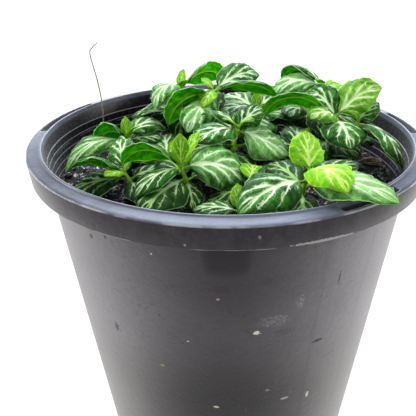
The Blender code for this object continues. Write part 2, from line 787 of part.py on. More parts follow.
def build_stalk(finish):
    last = len(STALK_ROUTE) - 1
    radii = [STALK_RADIUS * (1 - STALK_TAPER * k / last) for k in range(last + 1)]
    return tube("dry_stalk", STALK_ROUTE, radii, STALK_SIDES, finish)


def build_chip(finish):
    """A sliver of bark with a slanting top, on the mix's level bed."""
    level = soil_height(*CHIP_PLACE) + GAP
    turn = math.radians(CHIP_HEADING)
    points = []
    for shrink, lift in CHIP_LAYERS:
        for a, b in CHIP_OUTLINE:
            x = shrink * a * CHIP_HALF[0]
            y = shrink * b * CHIP_HALF[1]
            tilt = CHIP_TILT * a if lift else 0.0
            points.append((
                CHIP_PLACE[0] + x * math.cos(turn) - y * math.sin(turn),
                CHIP_PLACE[1] + x * math.sin(turn) + y * math.cos(turn),
                level + lift * CHIP_HEIGHT + tilt,
            ))
    count = len(CHIP_OUTLINE)
    top = len(points) - count
    faces = [tuple(reversed(range(count))), tuple(range(top, len(points)))]
    for low in range(0, top, count):
        for i in range(count):
            j = (i + 1) % count
            faces.append((low + i, low + j, low + count + j, low + count + i))
    return add_object("bark_chip", points, faces, finish)


def main():
    clear_scene()
    plastic = material("black_plastic", (0.018, 0.018, 0.024), 0.42)
    earth = material("potting_mix", (0.022, 0.017, 0.015), 0.95)
    foliage = material("foliage", (0.045, 0.16, 0.04), 0.5)
    straw = material("dry_stalk", (0.55, 0.5, 0.4), 0.8)
    bark = material("bark", (0.23, 0.12, 0.07), 0.9)
    feet = [(foot, STEM_FOOT_RADIUS) for foot, _, _ in SHOOTS.values()]
    feet.append((STALK_ROUTE[0][:2], STALK_RADIUS))
    solid = [build_pot(plastic), build_soil(earth, feet), build_stalk(straw), build_chip(bark)]
    placed = place_leaves([object_tree(made) for made in solid])
    for name, leaves in placed.items():
        build_shoot(name, leaves, foliage)
    print(sum(len(leaves) for leaves in placed.values()), "leaves placed")
    return placed


PLACED = main()
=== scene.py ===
# %% [markdown]
# # A nerve plant in a nursery pot
#
# A nerve plant grows as a low mound. Each stem carries crossed pairs of oval leaves, and the
# youngest pair stands upright at its tip. The packed part already holds one plain solid for
# every piece, and this lesson dresses those solids: a smooth moulded pot, a lumpy potting
# mix, and leaves with pale veins, thin edges and a quilted surface.
#
# The solids are loaded first, so that each finer piece can be built where its solid is, and the
# plain leaves are measured against theirs. Where a shoot stands and how its leaves lie was judged
# from the photo, and is written down further on as a table of numbers.

import bmesh
import bpy
import math
import random

import numpy as np
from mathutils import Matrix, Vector, noise
from mathutils.bvhtree import BVHTree


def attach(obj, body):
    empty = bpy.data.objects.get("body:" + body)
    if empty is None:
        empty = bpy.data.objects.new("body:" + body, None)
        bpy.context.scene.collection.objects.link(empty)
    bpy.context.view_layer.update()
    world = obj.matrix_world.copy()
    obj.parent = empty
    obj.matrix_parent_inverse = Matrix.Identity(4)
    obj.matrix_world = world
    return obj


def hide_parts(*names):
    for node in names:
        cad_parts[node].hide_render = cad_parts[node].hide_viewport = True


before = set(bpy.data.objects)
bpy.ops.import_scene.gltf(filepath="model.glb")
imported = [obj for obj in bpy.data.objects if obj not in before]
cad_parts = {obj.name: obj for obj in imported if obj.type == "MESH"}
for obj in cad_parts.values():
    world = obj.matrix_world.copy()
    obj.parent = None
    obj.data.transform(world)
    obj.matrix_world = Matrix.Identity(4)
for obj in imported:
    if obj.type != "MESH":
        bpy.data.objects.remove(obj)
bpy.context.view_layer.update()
MM = 0.001

# %% [markdown]
# ## The camera
#
# The camera stands in front of the pot and looks down into it at about 26 degrees. The photo
# is a crop, so its middle lies to the left of the lens axis, and the shift puts that back.
# A camera could be moved by hand until the picture looks right, but then a wrong lens hides
# behind a wrong distance. So its place and lens were worked out from the rim's ellipse, the
# skirt's foot and the spread of the wall's sides, once the rim's diameter was settled.

# %% Camera
PHOTO_PIXELS = 416
FOCAL_PIXELS = 700.0
SHIFT_PIXELS = -20
SENSOR = 36.0
NEAREST = 0.01
CAMERA_PLACE = (0.0, -0.42143, 0.36233)
CAMERA_TILT = 64.36


def add_camera():
    lens = bpy.data.cameras.new("photo_camera")
    lens.sensor_width = SENSOR
    lens.lens = FOCAL_PIXELS / PHOTO_PIXELS * SENSOR
    lens.shift_x = SHIFT_PIXELS / PHOTO_PIXELS
    lens.clip_start = NEAREST
    camera = bpy.data.objects.new("photo_camera", lens)
    camera.location = CAMERA_PLACE
    camera.rotation_euler = (math.radians(CAMERA_TILT), 0.0, 0.0)
    bpy.context.scene.collection.objects.link(camera)
    bpy.context.scene.camera = camera
    return camera


camera = add_camera()
print("lens", round(camera.data.lens, 2), "mm")

# %% [markdown]
# ## The numbers of the solids
#
# These are the sizes that the solids were built from, in millimetres and degrees. An azimuth
# is an angle in the ground plane, counted from +X towards +Y, and the front is -Y. Writing
# them here again lets every finer piece follow the same wall, the same rim and the same
# leaves instead of being fitted to a mesh afterwards.

# %% Pot sizes
RIM_RADIUS = 125.0
RIM_HEIGHT = 210.0
WALL_TOP_RADIUS = 115.8
WALL_TAPER = 0.1523
WALL_THICKNESS = 1.8
SKIRT_HEIGHT = 14.3
SKIRT_LEAN = 1.94
SKIRT_THICKNESS = 1.6
FLANGE_THICKNESS = 1.7
# The rim's section: radius and height over the rim, for its outer edge and its raised lip.
RIM_EDGE = ((125.0, -0.8), (124.3, 0.1), (123.1, 0.35))
RIM_CROWN = (0.5, 0.9)
LIP_SECTION = ((117.3, 1.1), (116.8, 2.1), (115.8, 2.1), (115.3, 1.2))
SKIRT_FALL = 0.3
POCKET_FLOOR = 205.0
POCKET_INNER = 118.0
POCKET_OUTER = 122.2
# Each hand-hold in the rim: its middle and its width, in degrees.
HAND_HOLDS = ((160, 30), (13, 20), (-52, 20))
HAND_HOLD_END = 0.8
LEDGE_DEPTHS = (8.0, 12.7, 17.4, 22.1, 26.8)
LEDGE_WIDTH = 0.72
LEDGE_SLANT = 0.25
BASE_THICKNESS = 2.2
BASE_CORNER = ((0.4, 3.0), (-2.6, 0.0))
FOOT_HEIGHT = 3.0
FOOT_WIDTH = 3.9
FOOT_SLANT = 1.5
FOOT_EDGE = 0.9
FOOT_BEVEL = 1.4
LEAST_STEP = 0.4
DRAIN_HOLES = 8
DRAIN_RADIUS = 5.0
DRAIN_RING = 58.0
DRILL_PAST = 2.0
print("the rim is", 2 * RIM_RADIUS, "mm wide and", RIM_HEIGHT, "mm high")

# %% Potting mix sizes
SOIL_AT_WALL = 181.5
SOIL_MOUND = 6.0
SOIL_LUMP = 2.0
SOIL_CORNER = ((3.4, 0.0), (0.0, 3.0))
HOLE_DEPTH = 9.0
print("the mix lies", RIM_HEIGHT - SOIL_AT_WALL, "mm below the rim")

# %% Stem and leaf sizes
STEM_FOOT_RADIUS = 1.7
STEM_TIP_RADIUS = 1.1
STEM_SIDES = 6
STEM_STEPS = 3
STEM_BEND = 1.6
BLADE_THICKNESS = 0.7
PETIOLE_SHARE = 0.13
PETIOLE_JOIN = 0.05
PETIOLE_WIDTH = 1.7
PETIOLE_THICKNESS = 1.5
TIP_WIDTH = 0.9
LEAF_SWELL = 0.56
LEAF_TAPER = 0.76
FOLD_ANGLE = 20.0
CURL_ANGLE = 62.0
YOUNG_CURL = 0.55
ARCH_POWER = 1.25
ARCH_STEPS = 48
ROLL_SHARE = 0.35
WAVE_HEIGHT = 0.055
WAVES = 1.5
WAVE_OFFSET = 1.3
WAVE_START = 0.15
SURFACE_STEP = 1e-3
UPPER_TIER = 0.75
LARGE_WIDTH = 16.0
LARGE_ROWS = (0.0, 0.14, 0.31, 0.54, 0.78, 1.0)
LARGE_COLUMNS = (-1.0, -0.55, 0.0, 0.55, 1.0)
LOW_ROWS = (0.0, 0.15, 0.42, 0.74, 1.0)
YOUNG_ROWS = (0.0, 0.16, 0.56, 1.0)
NARROW_COLUMNS = (-1.0, 0.0, 1.0)
LEAF_CLEARANCE = 0.45
ROOT_SHARE = 0.3
LEAF_SEED = 11
print("a blade folds up by", FOLD_ANGLE, "and curls down by", CURL_ANGLE, "degrees")

# %% Dry stalk and bark chip
# The stalk's route, foot first.
STALK_ROUTE = (
    (-84.5, 30.0, 175.0), (-84.6, 30.0, 196.0), (-84.0, 30.0, 212.0),
    (-84.2, 30.0, 225.0), (-86.0, 30.0, 239.0), (-89.3, 30.0, 256.0),
    (-87.4, 30.0, 260.5), (-84.0, 30.0, 263.5),
)
STALK_RADIUS = 0.45
STALK_TAPER = 0.3
CHIP_PLACE = (98.5, 23.5)
CHIP_HEADING = -35.0
print("the stalk reaches", STALK_ROUTE[-1][2], "mm")

# %% Table of shoots
# Each shoot: the foot of its stem on the ground plane, its tip, and its leaves. A leaf is
# (share of the stem's height, azimuth, rise, arch, length, width, facing). Rise is the
# angle at which it leaves the stem, arch is how far it bends down by its end, and facing
# turns its upper side to the front of the pot, or away from it where it is negative.
SHOOTS = {
    "shoot_01": ((-23, -40), (-27, -47, 208), (
        (0.97, 13, 16, 74, 42, 33, 37),
        (0.97, -144, 13, 68, 35, 19, 6),
        (0.92, 169, 54, 118, 44, 21, -50),
        (1.00, 27, 66, 15, 24, 13, -1),
        (1.00, 96, 77, 12, 20, 11, 0),
        (0.62, -124, 14, 30, 42, 30, 10),
        (0.55, -76, -4, 46, 24, 18, 0),
        (0.58, 118, 24, 40, 36, 24, 10),
        (0.55, 30, 14, 30, 34, 24, 10),
    )),
    "shoot_02": ((41, -60), (43, -79, 219), (
        (1.00, 96, 63, 23, 23, 22, -14),
        (1.00, -58, 37, 84, 34, 27, 3),
        (0.75, -145, 13, 49, 47, 32, 17),
        (0.72, -43, 25, 43, 59, 30, 9),
        (0.55, 25, 35, 45, 38, 24, 10),
        (0.55, 120, 18, 40, 36, 24, 10),
        (0.45, -95, -2, 35, 30, 22, 0),
    )),
    "shoot_03": ((2, -3), (6, -6, 218), (
        (0.95, -5, -15, 25, 36, 32, 23),
        (0.95, -134, 20, 52, 37, 25, 14),
        (0.98, 38, 43, 31, 23, 19, 24),
        (0.98, 150, 50, 90, 30, 17, -15),
        (1.00, -150, 55, 40, 14, 8, 0),
        (1.00, -20, 55, 40, 13, 8, 0),
        (0.60, -160, 12, 40, 40, 26, 20),
        (0.60, 0, 22, 45, 42, 27, 10),
        (0.50, -80, 5, 50, 34, 24, 0),
        (0.55, 100, 15, 40, 38, 25, 10),
    )),
    "shoot_04": ((-31, 42), (-33, 46, 229), (
        (0.97, -123, 44, 128, 35, 22, -4),
        (0.94, -159, -15, 21, 38, 22, -22),
        (0.97, 46, 37, 87, 48, 20, -66),
        (1.00, 55, 74, 13, 13, 8, 0),
        (1.00, -60, 50, 30, 14, 8, 0),
        (0.65, 95, 25, 45, 38, 25, 10),
        (0.62, -96, 2, 50, 36, 25, 0),
        (0.55, 170, 16, 45, 38, 25, 10),
    )),
    "shoot_05": ((-6, 36), (-10, 37, 230), (
        (0.96, -162, 10, 95, 42, 29, -59),
        (0.93, -116, -4, 41, 41, 25, 14),
        (0.97, 9, 27, 73, 47, 22, -36),
        (0.97, 44, 24, 50, 52, 21, 50),
        (1.00, -108, -3, 30, 21, 12, 2),
        (1.00, 148, 54, 41, 12, 9, 0),
        (0.62, 110, 25, 45, 40, 26, 10),
        (0.62, -60, 5, 50, 40, 27, 0),
        (0.55, 180, 15, 45, 38, 25, 10),
    )),
    "shoot_06": ((56, 44), (64, 42, 232), (
        (0.96, 170, 30, 101, 40, 27, 25),
        (0.97, 141, 50, 116, 43, 17, -24),
        (0.96, 20, 14, 40, 18, 13, 10),
        (1.00, -120, 50, 40, 12, 7, 0),
        (0.65, 100, 20, 45, 34, 23, 10),
        (0.62, -80, 5, 50, 36, 24, 0),
        (0.55, -10, 5, 45, 32, 23, 10),
    )),
    "shoot_07": ((66, 12), (70, 12, 219), (
        (1.00, 21, 54, 60, 38, 25, 51),
        (0.90, 163, 55, 127, 60, 19, -47),
        (0.92, -79, 15, 64, 34, 33, -2),
        (0.98, -139, 34, 73, 27, 21, 21),
        (0.97, 129, 60, 79, 35, 23, 60),
        (0.55, -125, 4, 40, 40, 27, 10),
        (0.55, 60, 18, 45, 32, 22, 10),
        (0.50, -78, 0, 35, 32, 22, 10),
    )),
    "shoot_08": ((81, 14), (84, 12, 216), (
        (0.97, -44, 6, 84, 47, 28, -21),
        (0.97, 35, 50, 46, 22, 16, 20),
        (1.00, 110, 60, 20, 16, 9, 0),
        (0.60, 120, 12, 40, 34, 23, 10),
        (0.55, 50, 5, 40, 28, 20, 10),
    )),
    "shoot_09": ((-63, 14), (-66, 10, 206), (
        (0.98, 172, 48, 128, 23, 24, -51),
        (0.97, 45, 41, 101, 38, 22, 15),
        (0.80, -148, 28, 96, 52, 18, 17),
        (0.86, 0, 22, 44, 31, 23, 24),
        (1.00, 100, 76, 12, 14, 7, 0),
        (1.00, -30, 56, 30, 15, 9, 0),
        (0.60, 120, 16, 40, 34, 23, 10),
        (0.55, -100, 0, 45, 28, 20, 0),
    )),
    "shoot_10": ((-58, -30), (-62, -35, 200), (
        (0.97, 170, 41, 84, 35, 19, -34),
        (0.97, 137, 48, 67, 29, 20, 19),
        (0.68, 181, 1, 30, 36, 25, 16),
        (1.00, -128, 24, 30, 16, 10, 10),
        (1.00, 50, 60, 20, 14, 8, 0),
        (0.60, 40, 15, 40, 32, 22, 10),
        (0.55, -60, 0, 30, 28, 19, 0),
    )),
    "shoot_11": ((8, -74), (6, -80, 196), (
        (0.97, 10, 25, 40, 24, 16, 10),
        (0.97, 175, 20, 45, 26, 17, 10),
        (1.00, 95, 60, 20, 16, 9, 0),
    )),
    "shoot_12": ((18, 62), (20, 64, 208), (
        (0.97, 40, 30, 55, 38, 26, 10),
        (0.97, -140, 30, 50, 36, 24, 10),
        (0.95, 135, 30, 60, 38, 26, 10),
        (1.00, 80, 60, 25, 14, 8, 0),
        (0.60, 90, 15, 45, 40, 26, 0),
        (0.60, 0, 15, 45, 36, 24, 0),
        (0.75, -80, 10, 50, 36, 25, 0),
        (0.75, -30, 14, 50, 34, 24, 0),
    )),
    "shoot_13": ((-32, 68), (-32, 72, 208), (
        (0.97, 130, 30, 55, 36, 25, 10),
        (0.97, -60, 30, 55, 34, 23, 10),
        (0.95, 40, 30, 55, 38, 25, 10),
        (0.95, -150, 20, 55, 32, 22, 10),
        (1.00, 90, 60, 25, 14, 8, 0),
        (0.50, 90, 10, 45, 34, 24, 0),
    )),
    "shoot_14": ((54, 72), (56, 76, 204), (
        (0.97, 60, 26, 55, 34, 24, 10),
        (0.97, -120, 30, 50, 34, 23, 10),
        (0.95, 150, 26, 55, 36, 24, 10),
        (0.95, -30, 22, 55, 34, 23, 10),
        (1.00, 60, 60, 25, 14, 8, 0),
        (0.50, 100, 10, 45, 30, 22, 0),
        (0.72, -80, 10, 50, 34, 24, 0),
    )),
    "shoot_15": ((44, 10), (46, 14, 197), (
        (0.97, 170, 22, 40, 38, 26, 10),
        (0.97, -15, 22, 40, 34, 24, 10),
        (0.95, 80, 24, 40, 36, 24, 10),
        (0.95, -100, 16, 50, 36, 25, 0),
        (1.00, 40, 60, 20, 16, 9, 0),
    )),
    "shoot_16": ((-38, -2), (-38, -4, 198), (
        (0.97, 10, 22, 40, 34, 24, 10),
        (0.97, -170, 22, 45, 30, 21, 10),
        (0.95, 100, 24, 40, 34, 23, 10),
        (0.95, -80, 14, 45, 32, 23, 0),
        (1.00, 40, 60, 20, 15, 9, 0),
    )),
    "shoot_17": ((14, -44), (14, -48, 200), (
        (0.97, 20, 22, 40, 34, 24, 10),
        (0.95, -60, 14, 45, 32, 23, 0),
        (0.95, 110, 24, 40, 30, 21, 10),
        (0.60, -160, -6, 40, 32, 22, 0),
    )),
}

print(len(SHOOTS), "shoots")

# %% Room to bend
# How far a leaf may be bent to come clear of another: changes of rise and of azimuth, and
# shares of its length, tried from the smallest change on.
BEND_RISES = (0, 5, -5, 10, -10, 16, -16, 24, -24, 34, -34)
BEND_TURNS = (0, 6, -6, 13, -13, 22, -22, 32, -32)
BEND_LENGTHS = (1.0, 0.88, 0.74)
TURN_COST = 0.8
LENGTH_COST = 60.0
print(len(BEND_RISES) * len(BEND_TURNS) * len(BEND_LENGTHS), "ways to bend a leaf")

# %% [markdown]
# ## A leaf as one curved surface
#
# A leaf could be sculpted, but a rule is easier to steer and to repeat. Here a leaf is a
# spine that rises from the stem and bends over, and across it a section that folds up from
# the midrib and curls down again at the margins, with slow waves that grow towards the edge.
# The same few numbers describe every leaf, so young, old, flat and drooping leaves all come
# from one function.

# %% Leaf surface
def half_width(u, width):
    """Half the leaf's width at a share u of its length, stalk included."""
    stalk = PETIOLE_WIDTH / 2
    if u <= PETIOLE_SHARE:
        return stalk
    s = min((u - PETIOLE_SHARE) / (1 - PETIOLE_SHARE), 1.0)
    widest = LEAF_SWELL / (LEAF_SWELL + LEAF_TAPER)
    full = widest ** LEAF_SWELL * (1 - widest) ** LEAF_TAPER
    bulge = s ** LEAF_SWELL * (1 - s) ** LEAF_TAPER / full
    end = stalk + (TIP_WIDTH / 2 - stalk) * s
    return max(width / 2 * bulge, end)


def leaf_spine(azimuth, rise, arch, length, us):
    """Middle line of a leaf from its foot, its side direction and its upward normal."""
    share = (np.arange(ARCH_STEPS) + 0.5) / ARCH_STEPS
    tilt = np.radians(rise - arch * share ** ARCH_POWER)
    knots = np.linspace(0, 1, ARCH_STEPS + 1)
    out = np.concatenate([[0], np.cumsum(np.cos(tilt))]) * length / ARCH_STEPS
    up = np.concatenate([[0], np.cumsum(np.sin(tilt))]) * length / ARCH_STEPS
    turn = math.radians(azimuth)
    heading = np.array([math.cos(turn), math.sin(turn), 0.0])
    side = np.array([math.sin(turn), -math.cos(turn), 0.0])
    zenith = np.array([0.0, 0.0, 1.0])
    run = np.interp(us, knots, out)[:, None]
    lift = np.interp(us, knots, up)[:, None]
    slope = np.radians(rise - arch * np.clip(us, 0, 1) ** ARCH_POWER)[:, None]
    normal = -np.sin(slope) * heading + np.cos(slope) * zenith
    return run * heading + lift * zenith, side, normal


def leaf_surface(leaf, us, vs):
    """Points of a leaf's middle surface over a grid of shares us along and vs across."""
    base, azimuth, rise, arch, length, width, facing, phase = leaf
    spine, side, normal = leaf_spine(azimuth, rise, arch, length, us)
    towards_front = 1.0 if math.cos(math.radians(azimuth)) >= 0 else -1.0
    roll = np.radians(facing * towards_front) * np.clip(us / ROLL_SHARE, 0, 1)[:, None]
    across = np.cos(roll) * side - np.sin(roll) * normal
    upward = np.cos(roll) * normal + np.sin(roll) * side
    half = np.array([half_width(u, width) for u in us])[:, None]
    fold = math.radians(FOLD_ANGLE)
    curl = math.radians(CURL_ANGLE * (1.0 if width >= LARGE_WIDTH else YOUNG_CURL))
    far = np.abs(vs)
    reach = np.sign(vs) * (math.sin(fold) - np.sin(fold - curl * far)) / curl
    lift = (np.cos(fold - curl * far) - math.cos(fold)) / curl
    ripple = np.sin(2 * math.pi * WAVES * us[:, None] + phase + WAVE_OFFSET * np.sign(vs))
    grown = np.clip((us[:, None] - PETIOLE_SHARE) / WAVE_START, 0, 1)
    wave = 2 * half * WAVE_HEIGHT * ripple * far ** 2 * grown
    x = (half * reach)[:, :, None]
    z = (half * lift + wave)[:, :, None]
    start = np.asarray(base) + spine
    return start[:, None, :] + x * across[:, None, :] + z * upward[:, None, :]


def leaf_normals(leaf, us, vs):
    step = SURFACE_STEP
    along = leaf_surface(leaf, us + step, vs) - leaf_surface(leaf, us - step, vs)
    over = leaf_surface(leaf, us, vs + step) - leaf_surface(leaf, us, vs - step)
    normal = np.cross(over, along)
    return normal / np.linalg.norm(normal, axis=2)[:, :, None]


sizes = [leaf[4] for _, _, leaves in SHOOTS.values() for leaf in leaves]
print(len(sizes), "leaves,", min(sizes), "to", max(sizes), "mm long with their stalks")

# %% [markdown]
# ## The stems
#
# A stem leaves the mix upright and leans over as its leaves gain weight. A curve object with
# a round bevel would draw it, but its mesh is made by Blender, and the solids need theirs
# point by point. So one small function lays rings of points along a route, for the plain
# stems here and the finer ones later. A leaf starts on the route at its own share of the
# height.

# %% Stem route
def wall_radius(height):
    """Outer radius of the pot's wall at a height."""
    return WALL_TOP_RADIUS - WALL_TAPER * (RIM_HEIGHT - height)


def soil_height(x, y):
    """Level of the potting mix, which is a low mound."""
    rim = wall_radius(SOIL_AT_WALL) - WALL_THICKNESS
    share = min(math.hypot(x, y) / rim, 1.0)
    return SOIL_AT_WALL + SOIL_MOUND * (1 - share ** 2)


def stem_point(foot, tip, share):
    ground = soil_height(*foot)
    lean = share ** STEM_BEND
    return (
        foot[0] + (tip[0] - foot[0]) * lean,
        foot[1] + (tip[1] - foot[1]) * lean,
        ground + (tip[2] - ground) * share,
    )


def stem_route(foot, tip, steps):
    ground = soil_height(*foot)
    route = [(foot[0], foot[1], ground - HOLE_DEPTH)]
    return route + [stem_point(foot, tip, k / steps) for k in range(steps + 1)]


def stem_radii(steps):
    spread = [k / steps for k in range(steps + 1)]
    tapered = [STEM_FOOT_RADIUS + (STEM_TIP_RADIUS - STEM_FOOT_RADIUS) * s for s in spread]
    return [STEM_FOOT_RADIUS] + tapered


def tube_mesh(route, radii, sides):
    """Points and faces of a closed tube along a route."""
    points = []
    side = Vector((0, 0, 0))
    for k, here in enumerate(route):
        before = Vector(route[max(k - 1, 0)])
        after = Vector(route[min(k + 1, len(route) - 1)])
        along = (after - before).normalized()
        if k == 0:
            side = along.orthogonal()
        side = (side - along * side.dot(along)).normalized()
        other = along.cross(side)
        for i in range(sides):
            turn = 2 * math.pi * i / sides
            offset = radii[k] * (math.cos(turn) * side + math.sin(turn) * other)
            points.append(tuple(Vector(here) + offset))
    faces = [tuple(reversed(range(sides)))]
    for low in range(0, (len(route) - 1) * sides, sides):
        for i in range(sides):
            j = (i + 1) % sides
            faces.append((low + i, low + j, low + sides + j, low + sides + i))
    last = (len(route) - 1) * sides
    faces.append(tuple(last + i for i in range(sides)))
    return points, faces


heights = [tip[2] - soil_height(*foot) for foot, tip, _ in SHOOTS.values()]
print("stems stand", round(min(heights)), "to", round(max(heights)), "mm out of the mix")

# %% [markdown]
# ## Bending each leaf clear of the others
#
# Crowded leaves push each other aside. The same happens here: each leaf is tried as the
# table gives it, and if its solid would meet the pot, the mix or a leaf that is already
# placed, the smallest change of rise, turn or length that clears it is taken. The solids
# were made by the same search, so the finer leaves land where their solids are.

# %% Plain solid of a leaf
def strip_triangles(r, n, last):
    """Triangles between two rows of a leaf, split the same way on both halves of it."""
    middle = n // 2
    if r == 0:
        fan = [((0, 0), (1, c + 1), (1, c)) for c in range(middle)]
        fan.append(((0, 0), (0, n - 1), (1, middle)))
        return fan + [((0, n - 1), (1, c + 1), (1, c)) for c in range(middle, n - 1)]
    if r == last - 1:
        fan = [((last, 0), (r, c), (r, c + 1)) for c in range(middle)]
        fan.append(((last, 0), (r, middle), (last, n - 1)))
        return fan + [((last, n - 1), (r, c), (r, c + 1)) for c in range(middle, n - 1)]
    found = []
    for c in range(n - 1):
        a, b, d, e = (r, c), (r, c + 1), (r + 1, c), (r + 1, c + 1)
        if c < middle:
            found += [(a, b, e), (a, e, d)]
        else:
            found += [(a, b, d), (b, e, d)]
    return found


def leaf_solid(leaf, rows, columns, extra=0.0):
    """Closed thin body of a leaf: points, triangles, and the triangles past its root."""
    us = np.array(rows)
    vs = np.array(columns)
    here = leaf_surface(leaf, us, vs)
    normal = leaf_normals(leaf, us, vs)
    at_stalk = us <= PETIOLE_SHARE + PETIOLE_JOIN
    thick = np.where(at_stalk, PETIOLE_THICKNESS, BLADE_THICKNESS)
    thick = (thick / 2 + extra)[:, None, None]
    n = len(vs)
    last = len(us) - 1
    strips = [[0, n - 1]] + [list(range(n))] * (last - 1) + [[0, n - 1]]
    kept = [(r, c) for r, strip in enumerate(strips) for c in strip]
    index = {place: k for k, place in enumerate(kept)}
    pick = tuple(np.array(kept).T)
    points = np.concatenate([(here + thick * normal)[pick], (here - thick * normal)[pick]])
    under = len(kept)
    faces = []
    blade = []
    for r in range(last):
        for triangle in strip_triangles(r, n, last):
            i, j, k = (index[place] for place in triangle)
            both = ((i, j, k), (under + k, under + j, under + i))
            faces += both
            if us[r] > ROOT_SHARE:
                blade += both
    border = [(index[0, n - 1], index[0, 0]), (index[last, 0], index[last, n - 1])]
    for r in range(last):
        border.append((index[r, 0], index[r + 1, 0]))
        border.append((index[r + 1, n - 1], index[r, n - 1]))
    for i, j in border:
        faces += [(i, j, under + j), (i, under + j, under + i)]
    return points, faces, blade


def leaf_grid(share, width):
    if width < LARGE_WIDTH:
        return YOUNG_ROWS, NARROW_COLUMNS
    if share < UPPER_TIER:
        return LOW_ROWS, NARROW_COLUMNS
    return LARGE_ROWS, LARGE_COLUMNS


print("a large leaf's solid has", len(LARGE_ROWS), "rows of", len(LARGE_COLUMNS), "points")

# %% Trees of triangles
def tree_of(points, faces):
    return BVHTree.FromPolygons([tuple(point) for point in points], faces)


def solid_tree(node):
    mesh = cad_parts[node].data
    points = [tuple(v.co / MM) for v in mesh.vertices]
    return tree_of(points, [tuple(p.vertices) for p in mesh.polygons])


def bounds_of(points):
    points = np.asarray(points)
    return points.min(axis=0), points.max(axis=0)


def apart(one, other):
    return bool(np.any(one[0] > other[1]) or np.any(one[1] < other[0]))


pot_corners = [v.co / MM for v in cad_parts["pot"].data.vertices]
print("the pot's solid is", round(float(bounds_of(pot_corners)[1][2]), 1), "mm high with its lip")

# %% Search for a clear place
def bends():
    """The changes that a leaf may take, smallest first."""
    options = []
    for length in BEND_LENGTHS:
        for rise in BEND_RISES:
            for turn in BEND_TURNS:
                cost = abs(rise) + TURN_COST * abs(turn) + LENGTH_COST * (1 - length)
                options.append((cost, rise, turn, length))
    return sorted(options, key=lambda option: (option[0], -option[1], option[2]))


def clear_of_all(name, solid, obstacles, stems, solids):
    """Whether a leaf meets nothing, its own shoot's stem and roots of leaves apart."""
    points, faces, blade = solid
    whole = tree_of(points, faces)
    box = bounds_of(points)
    if any(whole.overlap(tree) for tree in obstacles):
        return False
    for owner, (tree, other_box) in stems.items():
        if owner != name and not apart(box, other_box) and whole.overlap(tree):
            return False
    for owner, other, other_blade, other_box in solids:
        if apart(box, other_box):
            continue
        if owner != name and whole.overlap(other):
            return False
        if owner == name and tree_of(points, blade).overlap(other_blade):
            return False
    return True


def stem_trees():
    found = {}
    for name, (foot, tip, _) in SHOOTS.items():
        route = stem_route(foot, tip, STEM_STEPS)
        points, faces = tube_mesh(route, stem_radii(STEM_STEPS), STEM_SIDES)
        found[name] = (tree_of(points, faces), bounds_of(points))
    return found


def place_leaves(obstacles):
    """Each shoot's leaves as they end up: the leaf, its rank in the table and its solid."""
    draw = random.Random(LEAF_SEED)
    changes = bends()
    stems = stem_trees()
    placed = {name: [] for name in SHOOTS}
    solids = []
    for rank in range(max(len(leaves) for _, _, leaves in SHOOTS.values())):
        for name, (foot, tip, leaves) in SHOOTS.items():
            if rank >= len(leaves):
                continue
            share, azimuth, rise, arch, length, width, facing = leaves[rank]
            phase = draw.uniform(0, 2 * math.pi)
            base = stem_point(foot, tip, share)
            grid = leaf_grid(share, width)
            for _, bend, turn, shorter in changes:
                leaf = (
                    base, azimuth + turn, rise + bend, arch, length * shorter,
                    width * shorter, facing, phase,
                )
                fat = leaf_solid(leaf, *grid, LEAF_CLEARANCE)
                if clear_of_all(name, fat, obstacles, stems, solids):
                    points, faces, blade = leaf_solid(leaf, *grid)
                    trees = (tree_of(points, faces), tree_of(points, blade))
                    solids.append((name, *trees, bounds_of(points)))
                    placed[name].append((leaf, rank, points))
                    break
    return placed


placed = place_leaves([solid_tree(n) for n in ("pot", "potting_mix", "dry_stalk", "bark_chip")])
print(sum(map(len, placed.values())), "leaves placed")

# %% Are the leaves where their solids are
def worst_miss(placed):
    """Furthest that a leaf's plain solid lies from the packed solid of its shoot, in mm."""
    worst = 0.0
    for name, leaves in placed.items():
        tree = solid_tree(name)
        for _, _, points in leaves:
            tips = points[len(points) // 4:len(points) // 2]
            worst = max([worst] + [tree.find_nearest(Vector(p))[3] for p in tips])
    return worst


print("furthest from a solid:", round(worst_miss(placed), 2), "mm")

# %% [markdown]
# ## Finishes
#
# A finish is a network of shader nodes. Written out node by node it is long and hard to
# read, so a small class wraps one node socket and lets plain Python arithmetic add the Math
# nodes. Colours are mixed by a Mix node, because a Math node would turn them grey.

